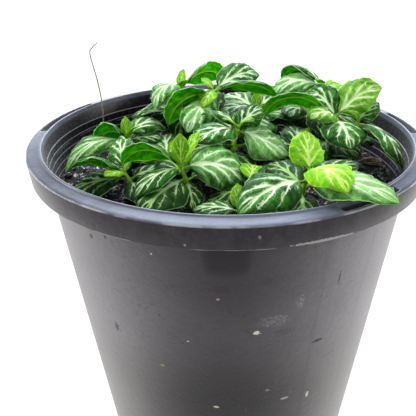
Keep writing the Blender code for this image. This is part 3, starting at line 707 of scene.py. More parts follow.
# %% Wire class
class Wire:
    """One output socket of a node tree that takes part in Python arithmetic."""

    def __init__(self, tree, socket=None):
        self.tree = tree
        self.socket = socket

    def make(self, kind, settings=None, values=None, output=0):
        """Adds a node: its settings first, then the values or wires of its sockets."""
        node = self.tree.nodes.new(kind)
        for key, setting in (settings or {}).items():
            setattr(node, key, setting)
        for key, value in (values or {}).items():
            if isinstance(value, Wire):
                self.tree.links.new(value.socket, node.inputs[key])
            else:
                node.inputs[key].default_value = value
        return Wire(self.tree, node.outputs[output])

    def math(self, operation, *values):
        return self.make("ShaderNodeMath", {"operation": operation}, dict(enumerate(values)))

    def __add__(self, other):
        return self.math("ADD", self, other)

    def __radd__(self, other):
        return self.math("ADD", other, self)

    def __sub__(self, other):
        return self.math("SUBTRACT", self, other)

    def __rsub__(self, other):
        return self.math("SUBTRACT", other, self)

    def __mul__(self, other):
        return self.math("MULTIPLY", self, other)

    def __rmul__(self, other):
        return self.math("MULTIPLY", other, self)

    def __truediv__(self, other):
        return self.math("DIVIDE", self, other)

    def __rtruediv__(self, other):
        return self.math("DIVIDE", other, self)

    def __abs__(self):
        return self.math("ABSOLUTE", self)

    def to_whole(self):
        """Distance to the nearest whole number, from 0 on it to a half between two."""
        return abs(self.math("FRACT", self + 0.5) - 0.5)

    def highest(self, other):
        return self.math("MAXIMUM", self, other)

    def ramp(self, low, high):
        """0 below low, 1 above high, and an eased step between them."""
        return self.make(
            "ShaderNodeMapRange", {"interpolation_type": "SMOOTHSTEP"},
            {"Value": self, "From Min": low, "From Max": high},
        )

    def blend(self, first, second):
        """The colour first where this value is 0, and second where it is 1."""
        return self.make(
            "ShaderNodeMix", {"data_type": "RGBA"}, {0: self, 6: first, 7: second}, output=2,
        )

    def split(self):
        parts = self.make("ShaderNodeSeparateXYZ", None, {0: self})
        outputs = parts.socket.node.outputs
        return [Wire(self.tree, socket) for socket in outputs]

    def scaled(self, x, y, z):
        return self.make(
            "ShaderNodeVectorMath", {"operation": "MULTIPLY"}, {0: self, 1: (x, y, z)},
        )

    def noise(self, scale, detail=3.0, roughness=0.5, distortion=0.0):
        """Noise between about 0.3 and 0.7 over this vector."""
        return self.make("ShaderNodeTexNoise", None, {
            "Vector": self, "Scale": scale, "Detail": detail, "Roughness": roughness,
            "Distortion": distortion,
        })

    def to_cell_edge(self, scale):
        """Distance to the nearest wall in a net of cells over this vector."""
        return self.make(
            "ShaderNodeTexVoronoi", {"feature": "DISTANCE_TO_EDGE"},
            {"Vector": self, "Scale": scale},
        )


print("a wire has", len([name for name in vars(Wire) if name[0] != "_"]), "named methods")

# %% Colours, finishes and relief
def rgb(red, green, blue):
    """A colour read in 0 to 255 as a screen shows it, as linear values."""
    shown = [value / 255 for value in (red, green, blue)]
    linear = [c / 12.92 if c <= 0.04045 else ((c + 0.055) / 1.055) ** 2.4 for c in shown]
    return (*linear, 1.0)


def new_finish(name):
    finish = bpy.data.materials.new(name)
    finish.use_nodes = True
    tree = finish.node_tree
    return finish, Wire(tree), tree.nodes["Principled BSDF"]


def plug(shader, wire, socket):
    wire.tree.links.new(wire.socket, shader.inputs[socket])


def bump(height, distance):
    """Normals from a height wire, for relief of about the distance given in millimetres."""
    return height.make("ShaderNodeBump", None, {
        "Height": height, "Distance": distance * MM, "Strength": 1.0,
    })


print("a screen's middle grey is", round(rgb(128, 128, 128)[0], 3), "in linear light")

# %% [markdown]
# ## Black plastic
#
# A nursery pot is moulded in black plastic. Its skin is smooth but not polished, so what shows
# most is what lies on it: a film of dust, thin in the middle of the front and the back and
# thicker towards the flanks, where it also carries a painted sheen of light caught at a low
# angle, and in the middles painted shade. Over it come splashes of soil, grazes, fine upright
# scratches and a patch of painted shade below the rim.
#
# A picture could carry all that, but it would blur close by and fit one view alone. Here each
# mark is a place on the wall, written as azimuth and height, and a mask of arithmetic with a
# ragged edge. The film is a rule over the whole pot, so every side has it.

# %% Marks on the pot
# Splashes: azimuth and height of the middle, half width and half height in millimetres, and
# the colour as a screen shows it.
SPLASHES = (
    (-132.0, 182.8, 1.3, 1.5, (60, 48, 34)),
    (-125.8, 186.3, 1.0, 1.2, (60, 48, 34)),
    (-81.2, 132.8, 2.0, 1.3, (190, 182, 164)),
    (-59.3, 116.5, 3.6, 1.2, (24, 22, 24)),
    (-59.0, 71.6, 1.0, 2.0, (170, 166, 158)),
    (-69.0, 75.0, 2.6, 0.8, (150, 146, 140)),
    (-94.3, 73.2, 1.7, 0.8, (176, 168, 148)),
    (-112.7, 101.9, 1.3, 0.9, (128, 112, 78)),
    (-92.8, 157.9, 1.0, 0.7, (150, 124, 92)),
    (-130.1, 119.7, 1.6, 3.4, (58, 56, 56)),
    (-82.9, 203.3, 0.8, 1.2, (112, 104, 94)),
    (-99.8, 198.3, 0.7, 0.7, (120, 118, 120)),
    (-110.9, 183.8, 0.6, 0.6, (170, 170, 168)),
    (-102.6, 125.5, 0.6, 0.5, (160, 160, 160)),
    (-76.0, 85.5, 1.6, 0.9, (104, 102, 104)),
    (-55.2, 160.1, 0.5, 5.0, (44, 42, 44)),
)
# Soft dark smudges: azimuth, height, half width and half height.
SMUDGES = ((-79.0, 168.6, 4.4, 2.4), (-92.4, 164.4, 5.2, 2.2), (-72.5, 131.0, 5.0, 2.2))
# The grazes above the pale flake, and the worn edge under the rim.
GRAZES = ((-76.0, 140.0, 9.0, 4.0), (-68.3, 151.0, 2.6, 4.5))
WORN_EDGE = (-67.0, 196.6, 17.0, 0.9)
# Below the rim at the front a soft patch of painted shade, where the film is taken off.
SHADE_BELOW_RIM = (-90.3, 187.0, 12.0, 12.5)
SCUFF_EDGE = 0.35


def mark_mask(place, mark, ragged=3.6, edge=SCUFF_EDGE, boxy=False):
    """1 on a mark of the pot's wall, with a ragged edge, and 0 elsewhere."""
    azimuth, height, wide, tall = mark
    turn = math.radians(azimuth)
    x, y, z = place.split()
    along = (y * math.cos(turn) - x * math.sin(turn)) / (wide * MM)
    up = (z - height * MM) / (tall * MM)
    facing = (x * math.cos(turn) + y * math.sin(turn)).ramp(0.0, 0.004)
    sideways, upward = along * along, up * up
    if boxy:
        sideways, upward = sideways * sideways, upward * upward
    far = sideways + upward + (place.noise(900.0, 2.0) - 0.5) * ragged
    return (1.0 - far.ramp(1.0 - edge, 1.0 + edge)) * facing


print(len(SPLASHES), "splashes,", len(SMUDGES), "smudges and", len(GRAZES), "grazes")

# %% Zones of the pot
def beyond_wall(place):
    """1 farther out than the middle of the wall, and 0 farther in."""
    x, y, z = place.split()
    radius = x.math("SQRT", x * x + y * y)
    middle = (WALL_TOP_RADIUS - WALL_THICKNESS / 2 - WALL_TAPER * RIM_HEIGHT) * MM
    return (radius - middle - z * WALL_TAPER).ramp(0.0, 0.0004)


def beyond_rim(place):
    """Millimetres beyond the rim's outer edge, so below 0 everywhere."""
    x, y, _ = place.split()
    return x.math("SQRT", x * x + y * y) / MM - RIM_RADIUS


def ledge_highlight(place):
    """1 on the ledges inside the wall, a painted highlight where they catch light, with some
    dust, and 0 elsewhere.
    """
    _, _, z = place.split()
    step = LEDGE_DEPTHS[1] - LEDGE_DEPTHS[0]
    depth = RIM_HEIGHT - z / MM
    near = ((depth - LEDGE_DEPTHS[0]) / step).to_whole() * step
    first = (depth - LEDGE_DEPTHS[0]).ramp(-0.6, -0.4)
    last = (LEDGE_DEPTHS[-1] - depth).ramp(-0.6, -0.4)
    return near.ramp(0.3, 0.12) * first * last * (1.0 - beyond_wall(place))


print("the wall's zones end", round(RIM_HEIGHT - SKIRT_HEIGHT, 1), "mm up, at the skirt")

# %% Film of dust and painted sheen
# How much of the plastic the film of dust and painted sheen hides at the flanks of the wall,
# how much less of it there is in the middle of the front and the back, which paints shade there,
# the height of a faint painted sheen across that middle, and the height below which the film is
# browner and, in the middle, thinner as painted shade.
FLANK_DUST_AND_SHEEN = 0.34
MIDDLE_PAINTED_SHADE = 0.28
BELLY_SHEEN_HEIGHT = 0.133
LOW_SHADE_HEIGHT = 0.118


def dust_and_sheen(place, cloudy, mottled, pits):
    """How much dust and painted sheen lies at each place of the pot, and its colour."""
    x, _, z = place.split()
    aside = abs(x) / MM
    middle = aside.ramp(95.0, 0.0)
    low = (LOW_SHADE_HEIGHT - z).ramp(0.0, 0.045)
    belly = abs(z - BELLY_SHEEN_HEIGHT).ramp(0.035, 0.0)
    # A soft patch below the rim at the front loses its film: painted shade under the rim.
    shade_below_rim = mark_mask(place, SHADE_BELOW_RIM, 0.5, 0.95, boxy=True) * 0.9
    # Thin in the middle and thick at the flanks: painted sheen at the flanks and painted shade in
    # the middle, over real dust that varies at random.
    wall_dust_and_sheen = FLANK_DUST_AND_SHEEN - middle * (MIDDLE_PAINTED_SHADE - belly * 0.05) + aside.ramp(70.0, 105.0) * 0.06
    # Lower down the film thins, most in the middle: painted shade at the foot of the wall.
    wall_dust_and_sheen = wall_dust_and_sheen * (1.0 - low * (0.14 + middle * 0.8))
    wall_dust_and_sheen = wall_dust_and_sheen * (0.88 + cloudy * 0.18 + (mottled - 0.5) * 0.5) * (1.0 - shade_below_rim)
    wall_dust_and_sheen = wall_dust_and_sheen * (1.0 - pits * 0.4)
    top = (z - (RIM_HEIGHT - 1.2) * MM).ramp(0.0, 0.8 * MM)
    inner = (1.0 - beyond_wall(place)) * (1.0 - top)
    # The rim's top gets more film, most in the middle of the front: a painted sheen of the light
    # behind, over a little dust.
    rim_dust_and_sheen = (mottled - 0.5) * 0.1 + top * (0.1 + cloudy * 0.16 + middle * 0.28) + inner * 0.01
    skirt = (1.0 - top) * beyond_wall(place) * (0.04 + cloudy * 0.04)
    # The skirt is paler towards its flanks: painted sheen.
    skirt = skirt + (1.0 - inner) * aside.ramp(84.0, 128.0) * 0.16
    below_skirt = ((RIM_HEIGHT - SKIRT_HEIGHT + 0.3) * MM - z).ramp(0.0, 0.0006)
    wall = beyond_wall(place) * below_skirt
    amount = wall * wall_dust_and_sheen + (1.0 - wall) * (rim_dust_and_sheen + skirt)
    dust_and_sheen_colour = low.blend(rgb(168, 162, 167), rgb(166, 158, 154))
    # The rim's top, and faintly the inside, take a bluish painted reflection instead of the
    # dust's colour.
    return amount, top.highest(inner).blend(dust_and_sheen_colour, rgb(140, 148, 170))


print("the film hides", round(FLANK_DUST_AND_SHEEN - MIDDLE_PAINTED_SHADE, 2), "to", FLANK_DUST_AND_SHEEN, "of the wall")

# %% Rubbed places and a painted highlight on the rim's edge
def wear_and_rim_highlight(place):
    """Grazes, the worn skirt, a bright line along the skirt's foot, and a painted highlight along
    the rim's edge.
    """
    _, _, z = place.split()
    height = z / MM
    scribble = abs(place.noise(430.0, 2.0, 0.5, 2.5) - 0.5).ramp(0.024, 0.01)
    grazed = mark_mask(place, GRAZES[0], 2.0, 0.6).highest(mark_mask(place, GRAZES[1], 2.0, 0.6))
    foot = (0.5 - abs(height - (RIM_HEIGHT - SKIRT_HEIGHT + 0.2))).ramp(0.0, 0.25)
    foot = foot * place.noise(70.0, 3.0).ramp(0.4, 0.62) * 0.4
    # A thin pale line along the rim's outer edge: a painted highlight.
    crest = (height - RIM_HEIGHT + 1.1).ramp(0.0, 0.3) * beyond_rim(place).ramp(-0.9, -0.5)
    crest = crest * place.noise(55.0, 3.0).ramp(0.42, 0.6) * 0.4
    worn = mark_mask(place, WORN_EDGE, 3.0) * 0.5
    return (grazed * scribble * 0.6).highest(worn.highest(foot).highest(crest))


print("the skirt is worn over", 2 * WORN_EDGE[2], "mm at the right")

# %% Pot plastic
POT_SHINE = 0.22
DUST_SHEEN = 0.19


def pot_plastic():
    finish, wire, shader = new_finish("black_plastic")
    place = wire.make("ShaderNodeTexCoord", output="Object")
    cloudy = place.noise(26.0, 6.0, 0.62).ramp(0.34, 0.68)
    mottled = place.noise(300.0, 4.0, 0.6)
    pits = place.noise(420.0, 3.0).ramp(0.6, 0.68) * place.noise(38.0, 3.0).ramp(0.45, 0.62)
    upright = place.scaled(1.0, 1.0, 0.1).noise(340.0, 4.0, 0.6, 0.6)
    scratch = upright.ramp(0.66, 0.72) * cloudy
    # The amount and colour carry real dust with painted sheen at the flanks and on the rim, and
    # painted shade in the middle, low down and below the rim.
    amount, dust_and_sheen_colour = dust_and_sheen(place, cloudy, mottled, pits)
    colour = amount.blend(rgb(21, 16, 21), dust_and_sheen_colour)
    # The ledges inside are paler: a painted highlight, with some dust.
    colour = (ledge_highlight(place) * 0.36).blend(colour, rgb(170, 172, 180))
    colour = (scratch * 0.3).blend(colour, rgb(120, 118, 116))
    for smudge in SMUDGES:
        colour = (mark_mask(place, smudge, 5.0, 0.9) * 0.35).blend(colour, rgb(26, 22, 26))
    # One pale colour for the wear and for the painted highlight on the rim's edge.
    colour = wear_and_rim_highlight(place).blend(colour, rgb(178, 176, 176))
    dull = amount * 0.3 + scratch * 0.1
    for azimuth, height, wide, tall, shown in SPLASHES:
        mask = mark_mask(place, (azimuth, height, wide, tall))
        colour = mask.blend(colour, rgb(*shown))
        dull = dull + mask * 0.2
    plug(shader, colour, "Base Color")
    plug(shader, dull + 0.27, "Roughness")
    shader.inputs["Specular IOR Level"].default_value = POT_SHINE
    shader.inputs["Sheen Weight"].default_value = DUST_SHEEN
    shader.inputs["Sheen Roughness"].default_value = 0.45
    skin = mottled * 1.3 - pits * 0.5 + place.noise(1500.0, 3.0) * 0.5 + scratch * 0.2
    plug(shader, bump(skin, 0.1), "Normal")
    return finish


POT_PLASTIC = pot_plastic()
print(len(POT_PLASTIC.node_tree.nodes), "nodes in the finish of the pot")

# %% [markdown]
# ## Potting mix
#
# Peat, composted bark and grit: nearly black where it is wet, brown on the crumbs that have
# dried, with a few pale specks. Three finishes could share that out, but then the bed and
# the crumbs would part in colour where they meet. So one finish serves both, and each crumb
# carries its own tone in a colour attribute, brown in the first channel and pale in the second.

# %% Potting mix finish
def mix_finish():
    finish, wire, shader = new_finish("potting_mix")
    place = wire.make("ShaderNodeTexCoord", output="Object")
    tone = wire.make("ShaderNodeAttribute", {"attribute_name": "tone"}, output="Color")
    brown, pale, _ = tone.split()
    clods = place.noise(170.0, 6.0, 0.65)
    colour = clods.ramp(0.38, 0.7).blend(rgb(6, 5, 7), rgb(40, 35, 38))
    fibre = place.scaled(1.0, 0.4, 1.0).noise(760.0, 4.0, 0.6, 1.2).ramp(0.55, 0.66)
    colour = (fibre * 0.6).blend(colour, rgb(104, 98, 100))
    dry = place.noise(120.0, 3.0).ramp(0.42, 0.6)
    glint = place.noise(420.0, 5.0, 0.72, 0.8).ramp(0.53, 0.6) * dry
    colour = (glint * 0.9).blend(colour, rgb(236, 234, 246))
    colour = (brown * 0.8).blend(colour, rgb(92, 72, 58))
    colour = (pale * 0.9).blend(colour, rgb(160, 160, 164))
    plug(shader, colour, "Base Color")
    plug(shader, 0.9 - glint * 0.4 - clods.ramp(0.55, 0.75) * 0.2, "Roughness")
    rough = clods * 1.6 + place.noise(1100.0, 4.0) * 0.9 + glint * 0.3
    plug(shader, bump(rough, 0.8), "Normal")
    return finish


MIX_FINISH = mix_finish()
print(len(MIX_FINISH.node_tree.nodes), "nodes in the finish of the mix")

# %% [markdown]
# ## Leaves
#
# A nerve plant is grown for its veins. Each leaf has a pale midrib, broad at its foot, and a
# few pairs of broad lateral veins that climb towards the tip and taper out before the margin,
# with short barbs and a fine net between them. Painted on one leaf, the veins would be the
# same on every other. So the pattern is arithmetic on two numbers that every leaf carries:
# the share along the blade and the share across it. The mesh uses the same arithmetic for its
# quilting, so relief and colour agree.
#
# Three more numbers per leaf set its age, from dark green at 0 to yellow-green at 1, where
# below 0 it paints shade on the low leaves under the canopy; how far the pale colour has washed
# out between the veins; and where its noises start, so that no two leaves are marked alike.

# %% Vein pattern in numbers
VEIN_PAIRS = 3.2
VEIN_CLIMB = 0.88
VEIN_BOW = 0.2


def vein_phase(s, w):
    """Counts the lateral veins: a vein runs wherever this is a whole number."""
    return (s - VEIN_CLIMB * w + VEIN_BOW * w * w) * VEIN_PAIRS


print("veins meet the midrib every", round(1 / VEIN_PAIRS, 3), "of the blade's length")

# %% Veins on a leaf
def leaf_wires(wire):
    """A leaf's own coordinates and looks, and a vector for noises that differ by leaf."""
    s, across, _ = wire.make("ShaderNodeUVMap", {"uv_map": "leaf"}).split()
    look = wire.make("ShaderNodeAttribute", {"attribute_name": "look"}, output="Color")
    youth_and_shade, pale, seed = look.split()
    spread = wire.make("ShaderNodeCombineXYZ", None, {0: s * 2.0, 1: across, 2: seed * 9.0})
    return s, across, youth_and_shade, pale, spread


def vein_masks(s, across, spread):
    """How far out a point lies, and masks of the veins, of the midrib and of the fine net."""
    w = abs(across * 2.0 - 1.0)
    sway = (spread.noise(3.6, 2.0) - 0.5) * 0.12
    feather = spread.noise(34.0, 4.0, 0.75) - 0.5
    phase = vein_phase(s + sway, w)
    off = phase.to_whole()
    reach = 0.74 + (spread.noise(3.3, 1.0) - 0.5) * 1.2
    wide = (reach - w) * 0.21 + feather * 0.34
    lateral = (wide - off).ramp(-0.04, 0.06) * (phase + 0.5).ramp(0.0, 0.08)
    lateral = lateral * (0.93 - w).ramp(0.0, 0.14)
    barbs = ((s * 3.1 - w * 0.9 + sway * 9.0) * 2.3).to_whole()
    short = ((0.36 - off) * 0.6 + feather * 0.5 - barbs).ramp(-0.06, 0.08)
    barb = short * (reach - w).ramp(0.0, 0.25)
    core = 0.13 - s * 0.1 + feather * 0.16 + (0.35 - s).ramp(0.0, 0.35) * 0.07
    midrib = (core - w).ramp(-0.03, 0.04)
    end = (0.96 - s).ramp(0.0, 0.12)
    net = spread.to_cell_edge(17.0).ramp(0.11, 0.02)
    return w, off, lateral.highest(barb * 0.7) * end, midrib, net


print("there are", VEIN_PAIRS, "pairs of veins to a blade")

# %% Light through a leaf
LEAF_SHINE = 0.18
LEAF_FLESH = 0.28
LEAF_GLOW_REACH = 1.4


def let_light_through(shader):
    """A thin leaf glows green where light falls on its other side, and shines only a little."""
    shader.inputs["Specular IOR Level"].default_value = LEAF_SHINE
    shader.inputs["Subsurface Weight"].default_value = LEAF_FLESH
    shader.inputs["Subsurface Radius"].default_value = (0.5, 1.0, 0.2)
    shader.inputs["Subsurface Scale"].default_value = LEAF_GLOW_REACH * MM


print("green light spreads", LEAF_GLOW_REACH, "mm in a leaf")

# %% Upper side of a leaf
def leaf_upper():
    finish, wire, shader = new_finish("leaf_upper")
    s, across, youth_and_shade, pale, spread = leaf_wires(wire)
    w, off, veins, midrib, net = vein_masks(s, across, spread)
    # A look below 0 paints shade: the low leaves under the canopy turn a darker green with dimmer
    # veins.
    painted_leaf_shade = (0.0 - youth_and_shade).ramp(0.0, 0.5) * 0.7
    patch = spread.noise(4.5, 4.0, 0.6)
    halo = pale * 1.3 + (patch - 0.5) * 1.3 - w * 1.0 + (0.24 - off) * 1.1
    mature = patch.ramp(0.3, 0.7).blend(rgb(10, 48, 2), rgb(40, 108, 6))
    mature = halo.ramp(-0.1, 0.7).blend(mature, rgb(124, 172, 104))
    mature = painted_leaf_shade.blend(mature, rgb(9, 42, 4))
    fresh = patch.ramp(0.35, 0.7).blend(rgb(98, 168, 0), rgb(148, 204, 0))
    fresh = halo.ramp(0.0, 0.9).blend(fresh, rgb(200, 224, 110))
    colour = youth_and_shade.blend(mature, fresh)
    speckle = spread.noise(60.0, 2.0).ramp(0.52, 0.62) * halo.ramp(-0.6, 0.3)
    net_colour = youth_and_shade.blend(rgb(128, 186, 98), rgb(190, 232, 90))
    colour = (net.highest(speckle) * halo.ramp(-0.6, 0.2) * 0.35).blend(colour, net_colour)
    vein = youth_and_shade.blend(rgb(214, 236, 200), rgb(218, 244, 150))
    vein = painted_leaf_shade.blend(vein, rgb(142, 186, 96))
    strength = 0.8 + (halo + 0.2).ramp(-0.4, 0.4) * 0.2 - youth_and_shade * 0.25
    colour = (veins.highest(midrib) * strength).blend(colour, vein)
    margin = w.ramp(0.94, 0.975) * (0.6 + patch * 0.6)
    colour = margin.blend(colour, youth_and_shade.blend(rgb(158, 196, 140), rgb(186, 220, 60)))
    colour = (0.0 - s).ramp(-0.015, 0.02).blend(colour, rgb(134, 190, 40))
    plug(shader, colour, "Base Color")
    plug(shader, 0.36 + patch * 0.16 - veins * 0.05, "Roughness")
    let_light_through(shader)
    relief = net * -0.5 + spread.noise(46.0, 3.0) * 0.7 - veins * 0.6 - midrib * 0.6
    plug(shader, bump(relief, 0.4), "Normal")
    return finish


LEAF_UPPER = leaf_upper()
print(len(LEAF_UPPER.node_tree.nodes), "nodes in the upper finish of a leaf")

# %% Underside of a leaf
def leaf_under():
    finish, wire, shader = new_finish("leaf_under")
    s, across, youth_and_shade, _, spread = leaf_wires(wire)
    w, _, veins, midrib, net = vein_masks(s, across, spread)
    patch = spread.noise(4.5, 4.0, 0.6)
    # The underside's bright, saturated green is partly its own colour and partly a painted glow
    # of light coming through the leaf.
    colour = patch.ramp(0.35, 0.65).blend(rgb(24, 150, 0), rgb(92, 206, 0))
    colour = youth_and_shade.blend(colour, rgb(160, 226, 10))
    colour = (net * 0.35).blend(colour, rgb(140, 214, 40))
    colour = (veins * 0.45).blend(colour, rgb(160, 228, 50))
    colour = (0.07 - w).ramp(0.0, 0.04).blend(colour, rgb(206, 246, 90))
    colour = w.ramp(0.9, 0.96).blend(colour, rgb(206, 246, 90))
    colour = (0.0 - s).ramp(-0.015, 0.02).blend(colour, rgb(160, 216, 40))
    plug(shader, colour, "Base Color")
    plug(shader, 0.45 + patch * 0.12, "Roughness")
    let_light_through(shader)
    relief = net * 0.5 + veins * 0.9 + midrib + spread.noise(40.0, 3.0) * 0.5
    plug(shader, bump(relief, 0.35), "Normal")
    return finish


LEAF_UNDER = leaf_under()
print(len(LEAF_UNDER.node_tree.nodes), "nodes in the under finish of a leaf")

# %% [markdown]
# ## Stems, dry stalk and bark
#
# Stems are yellow-green, a little darker and browner towards the mix, with a fine fuzz that
# runs lengthwise. The dead stalk is a dull straw, stained darker, with fibres along it. The
# bark chip has layers along its length, brown with paler broken edges. A wave texture gives
# stripes, but too even ones. Each finish here is a noise that is stretched along its piece,
# because that is how the fibres of wood and stems run.

# %% Stem finish
def stem_finish():
    finish, wire, shader = new_finish("stem")
    place = wire.make("ShaderNodeTexCoord", output="Object")
    _, _, height = place.split()
    blotch = place.noise(260.0, 4.0, 0.6)
    colour = blotch.ramp(0.35, 0.65).blend(rgb(136, 196, 20), rgb(176, 220, 70))
    low = ((SOIL_AT_WALL + 14) * MM - height + (blotch - 0.5) * 0.012).ramp(0.0, 0.012)
    colour = (low * 0.6).blend(colour, rgb(92, 96, 44))
    plug(shader, colour, "Base Color")
    plug(shader, 0.5 + blotch * 0.15, "Roughness")
    fuzz = place.scaled(1.0, 1.0, 0.3).noise(1900.0, 3.0) + blotch * 0.5
    plug(shader, bump(fuzz, 0.2), "Normal")
    return finish


STEM_FINISH = stem_finish()
print("stems turn brown", SOIL_AT_WALL + 14, "mm up")

# %% Dry stalk finish
def straw_finish():
    finish, wire, shader = new_finish("dry_stalk")
    place = wire.make("ShaderNodeTexCoord", output="Object")
    stain = place.noise(240.0, 4.0, 0.6)
    fibre = place.scaled(1.0, 1.0, 0.12).noise(3200.0, 3.0)
    colour = stain.ramp(0.35, 0.65).blend(rgb(150, 142, 122), rgb(104, 98, 80))
    colour = (fibre.ramp(0.5, 0.7) * 0.5).blend(colour, rgb(92, 84, 64))
    plug(shader, colour, "Base Color")
    plug(shader, 0.7 + stain * 0.2, "Roughness")
    plug(shader, bump(fibre, 0.15), "Normal")
    return finish


STRAW_FINISH = straw_finish()
print(len(STRAW_FINISH.node_tree.nodes), "nodes in the finish of the stalk")

# %% Bark finish
def bark_finish():
    finish, wire, shader = new_finish("bark")
    turn = math.radians(-CHIP_HEADING)
    place = wire.make("ShaderNodeTexCoord", output="Object")
    lengthwise = place.make(
        "ShaderNodeVectorRotate", {"rotation_type": "Z_AXIS"}, {"Vector": place, "Angle": turn},
    ).scaled(0.25, 1.0, 1.0)
    layers = lengthwise.noise(620.0, 5.0, 0.65)
    colour = layers.ramp(0.38, 0.6).blend(rgb(146, 118, 98), rgb(255, 232, 206))
    crumbs = place.noise(900.0, 3.0).ramp(0.6, 0.68)
    colour = (crumbs * 0.3).blend(colour, rgb(70, 54, 44))
    plug(shader, colour, "Base Color")
    plug(shader, 0.82 + layers * 0.15, "Roughness")
    plug(shader, bump(layers * 1.4 + crumbs * 0.4, 0.5), "Normal")
    return finish


BARK_FINISH = bark_finish()
print("the bark's layers run at", CHIP_HEADING, "degrees")

# %% [markdown]
# ## Mesh helpers
#
# Blender's operators add a shape and leave it selected, which a long script soon trips over.
# So every finer piece is made straight from a list of points in millimetres and a list of
# faces. Each piece rides on the one body of this object, and most stand for a solid, which
# they hide.

# %% Making a piece
def new_piece(name, points, faces, finishes, node=None):
    """A smooth mesh piece from points in millimetres, with its finishes in order."""
    mesh = bpy.data.meshes.new(name)
    mesh.from_pydata([tuple(c * MM for c in point) for point in points], [], faces)
    piece = bpy.data.objects.new(name, mesh)
    bpy.context.scene.collection.objects.link(piece)
    for finish in finishes:
        mesh.materials.append(finish)
    mesh.shade_smooth()
    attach(piece, "root")
    if node:
        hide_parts(node)
    return piece


def colour_points(mesh, name, colours):
    """Writes one colour a point into a named attribute of the mesh."""
    layer = mesh.attributes.new(name, "FLOAT_COLOR", "POINT")
    layer.data.foreach_set("color", np.asarray(colours, dtype=np.float32).ravel())


def apply_modifiers(piece):
    depsgraph = bpy.context.evaluated_depsgraph_get()
    mesh = bpy.data.meshes.new_from_object(piece.evaluated_get(depsgraph))
    piece.modifiers.clear()
    piece.data = mesh


def triangles(piece):
    return sum(len(p.vertices) - 2 for p in piece.data.polygons)


print("a point at 250 mm is written as", round(250 * MM, 3), "m")

# %% [markdown]
# ## The pot
#
# The pot is one moulding, so it is one section turned round an axis: wall, rolled rim with
# its hanging skirt, ledges inside, floor and foot ring. The section depends on the angle,
# because the rim drops in the three hand-holds. The solid has few sides, and this one has
# enough for a round outline. A bevel then rounds every edge a little, as a mould leaves it,
# and a boolean drills the drains through the floor, where turning alone can't make them.

# %% Pot section
FINE_POT_SIDES = 240


def turn_between(one, other):
    return abs((one - other + 180) % 360 - 180)


def pot_angles():
    """Angles of the pot's columns: even ones, and the exact ends of the hand-holds."""
    step = 360 / FINE_POT_SIDES
    edges = [0, 90, 180, 270]
    for middle, width in HAND_HOLDS:
        for side in (-1, 1):
            end = middle + side * width / 2
            edges += [end, end - side * HAND_HOLD_END]
    plain = [
        step * k for k in range(FINE_POT_SIDES)
        if all(turn_between(step * k, edge) > step * LEAST_STEP for edge in edges)
    ]
    return sorted(a % 360 for a in plain + edges)


def in_hand_hold(angle):
    for middle, width in HAND_HOLDS:
        if turn_between(angle, middle) < width / 2 - HAND_HOLD_END / 2:
            return True
    return False


def pot_profile(angle):
    """The pot's section at an angle: (radius, height) up the outside, then down the inside."""
    foot = wall_radius(0.0)
    skirt_foot = RIM_HEIGHT - SKIRT_HEIGHT
    skirt_radius = RIM_RADIUS - SKIRT_LEAN
    profile = [
        (foot - FOOT_WIDTH - FOOT_SLANT, FOOT_HEIGHT), (foot - FOOT_WIDTH, 0.0),
        (foot - FOOT_EDGE, 0.0), (wall_radius(FOOT_BEVEL), FOOT_BEVEL),
    ]
    if in_hand_hold(angle):
        under = POCKET_FLOOR - FLANGE_THICKNESS
        profile += [(wall_radius(under), under), (POCKET_OUTER, under)]
        top = [(POCKET_OUTER, POCKET_FLOOR), (POCKET_INNER, POCKET_FLOOR)]
    else:
        under = RIM_HEIGHT - FLANGE_THICKNESS
        profile.append((wall_radius(under), under))
        profile.append((RIM_RADIUS - SKIRT_THICKNESS, under - SKIRT_FALL))
        outer, inner = RIM_CROWN
        top = [(POCKET_OUTER, RIM_HEIGHT + outer), (POCKET_INNER, RIM_HEIGHT + inner)]
    profile += [(skirt_radius - SKIRT_THICKNESS, skirt_foot), (skirt_radius, skirt_foot)]
    profile += [(radius, RIM_HEIGHT + rise) for radius, rise in RIM_EDGE]
    profile += top
    profile += [(radius, RIM_HEIGHT + rise) for radius, rise in LIP_SECTION]
    for depth in LEDGE_DEPTHS:
        height = RIM_HEIGHT - depth
        wall = wall_radius(height) - WALL_THICKNESS
        profile.append((wall + LEDGE_WIDTH, height + LEDGE_SLANT))
        profile.append((wall, height - LEDGE_SLANT))
    base_top = FOOT_HEIGHT + BASE_THICKNESS
    corner = wall_radius(base_top) - WALL_THICKNESS
    return profile + [(corner + out, base_top + rise) for out, rise in BASE_CORNER]


print("the pot's section has", len(pot_profile(0.0)), "corners")

# %% Closed bodies from rings
def rings_mesh(rings):
    """Points and faces of a closed body from one ring of points a step, flat at both ends."""
    count = len(rings[0])
    points = [point for ring in rings for point in ring]
    faces = [tuple(reversed(range(count)))]
    for k in range(len(rings) - 1):
        for i in range(count):
            j = (i + 1) % count
            faces.append((k * count + i, k * count + j, (k + 1) * count + j, (k + 1) * count + i))
    last = (len(rings) - 1) * count
    faces.append(tuple(range(last, last + count)))
    return points, faces


print("two rings of three make", len(rings_mesh([[(0, 0, 0)] * 3] * 2)[1]), "faces")

# %% Drains
FINE_DRAIN_SIDES = 32


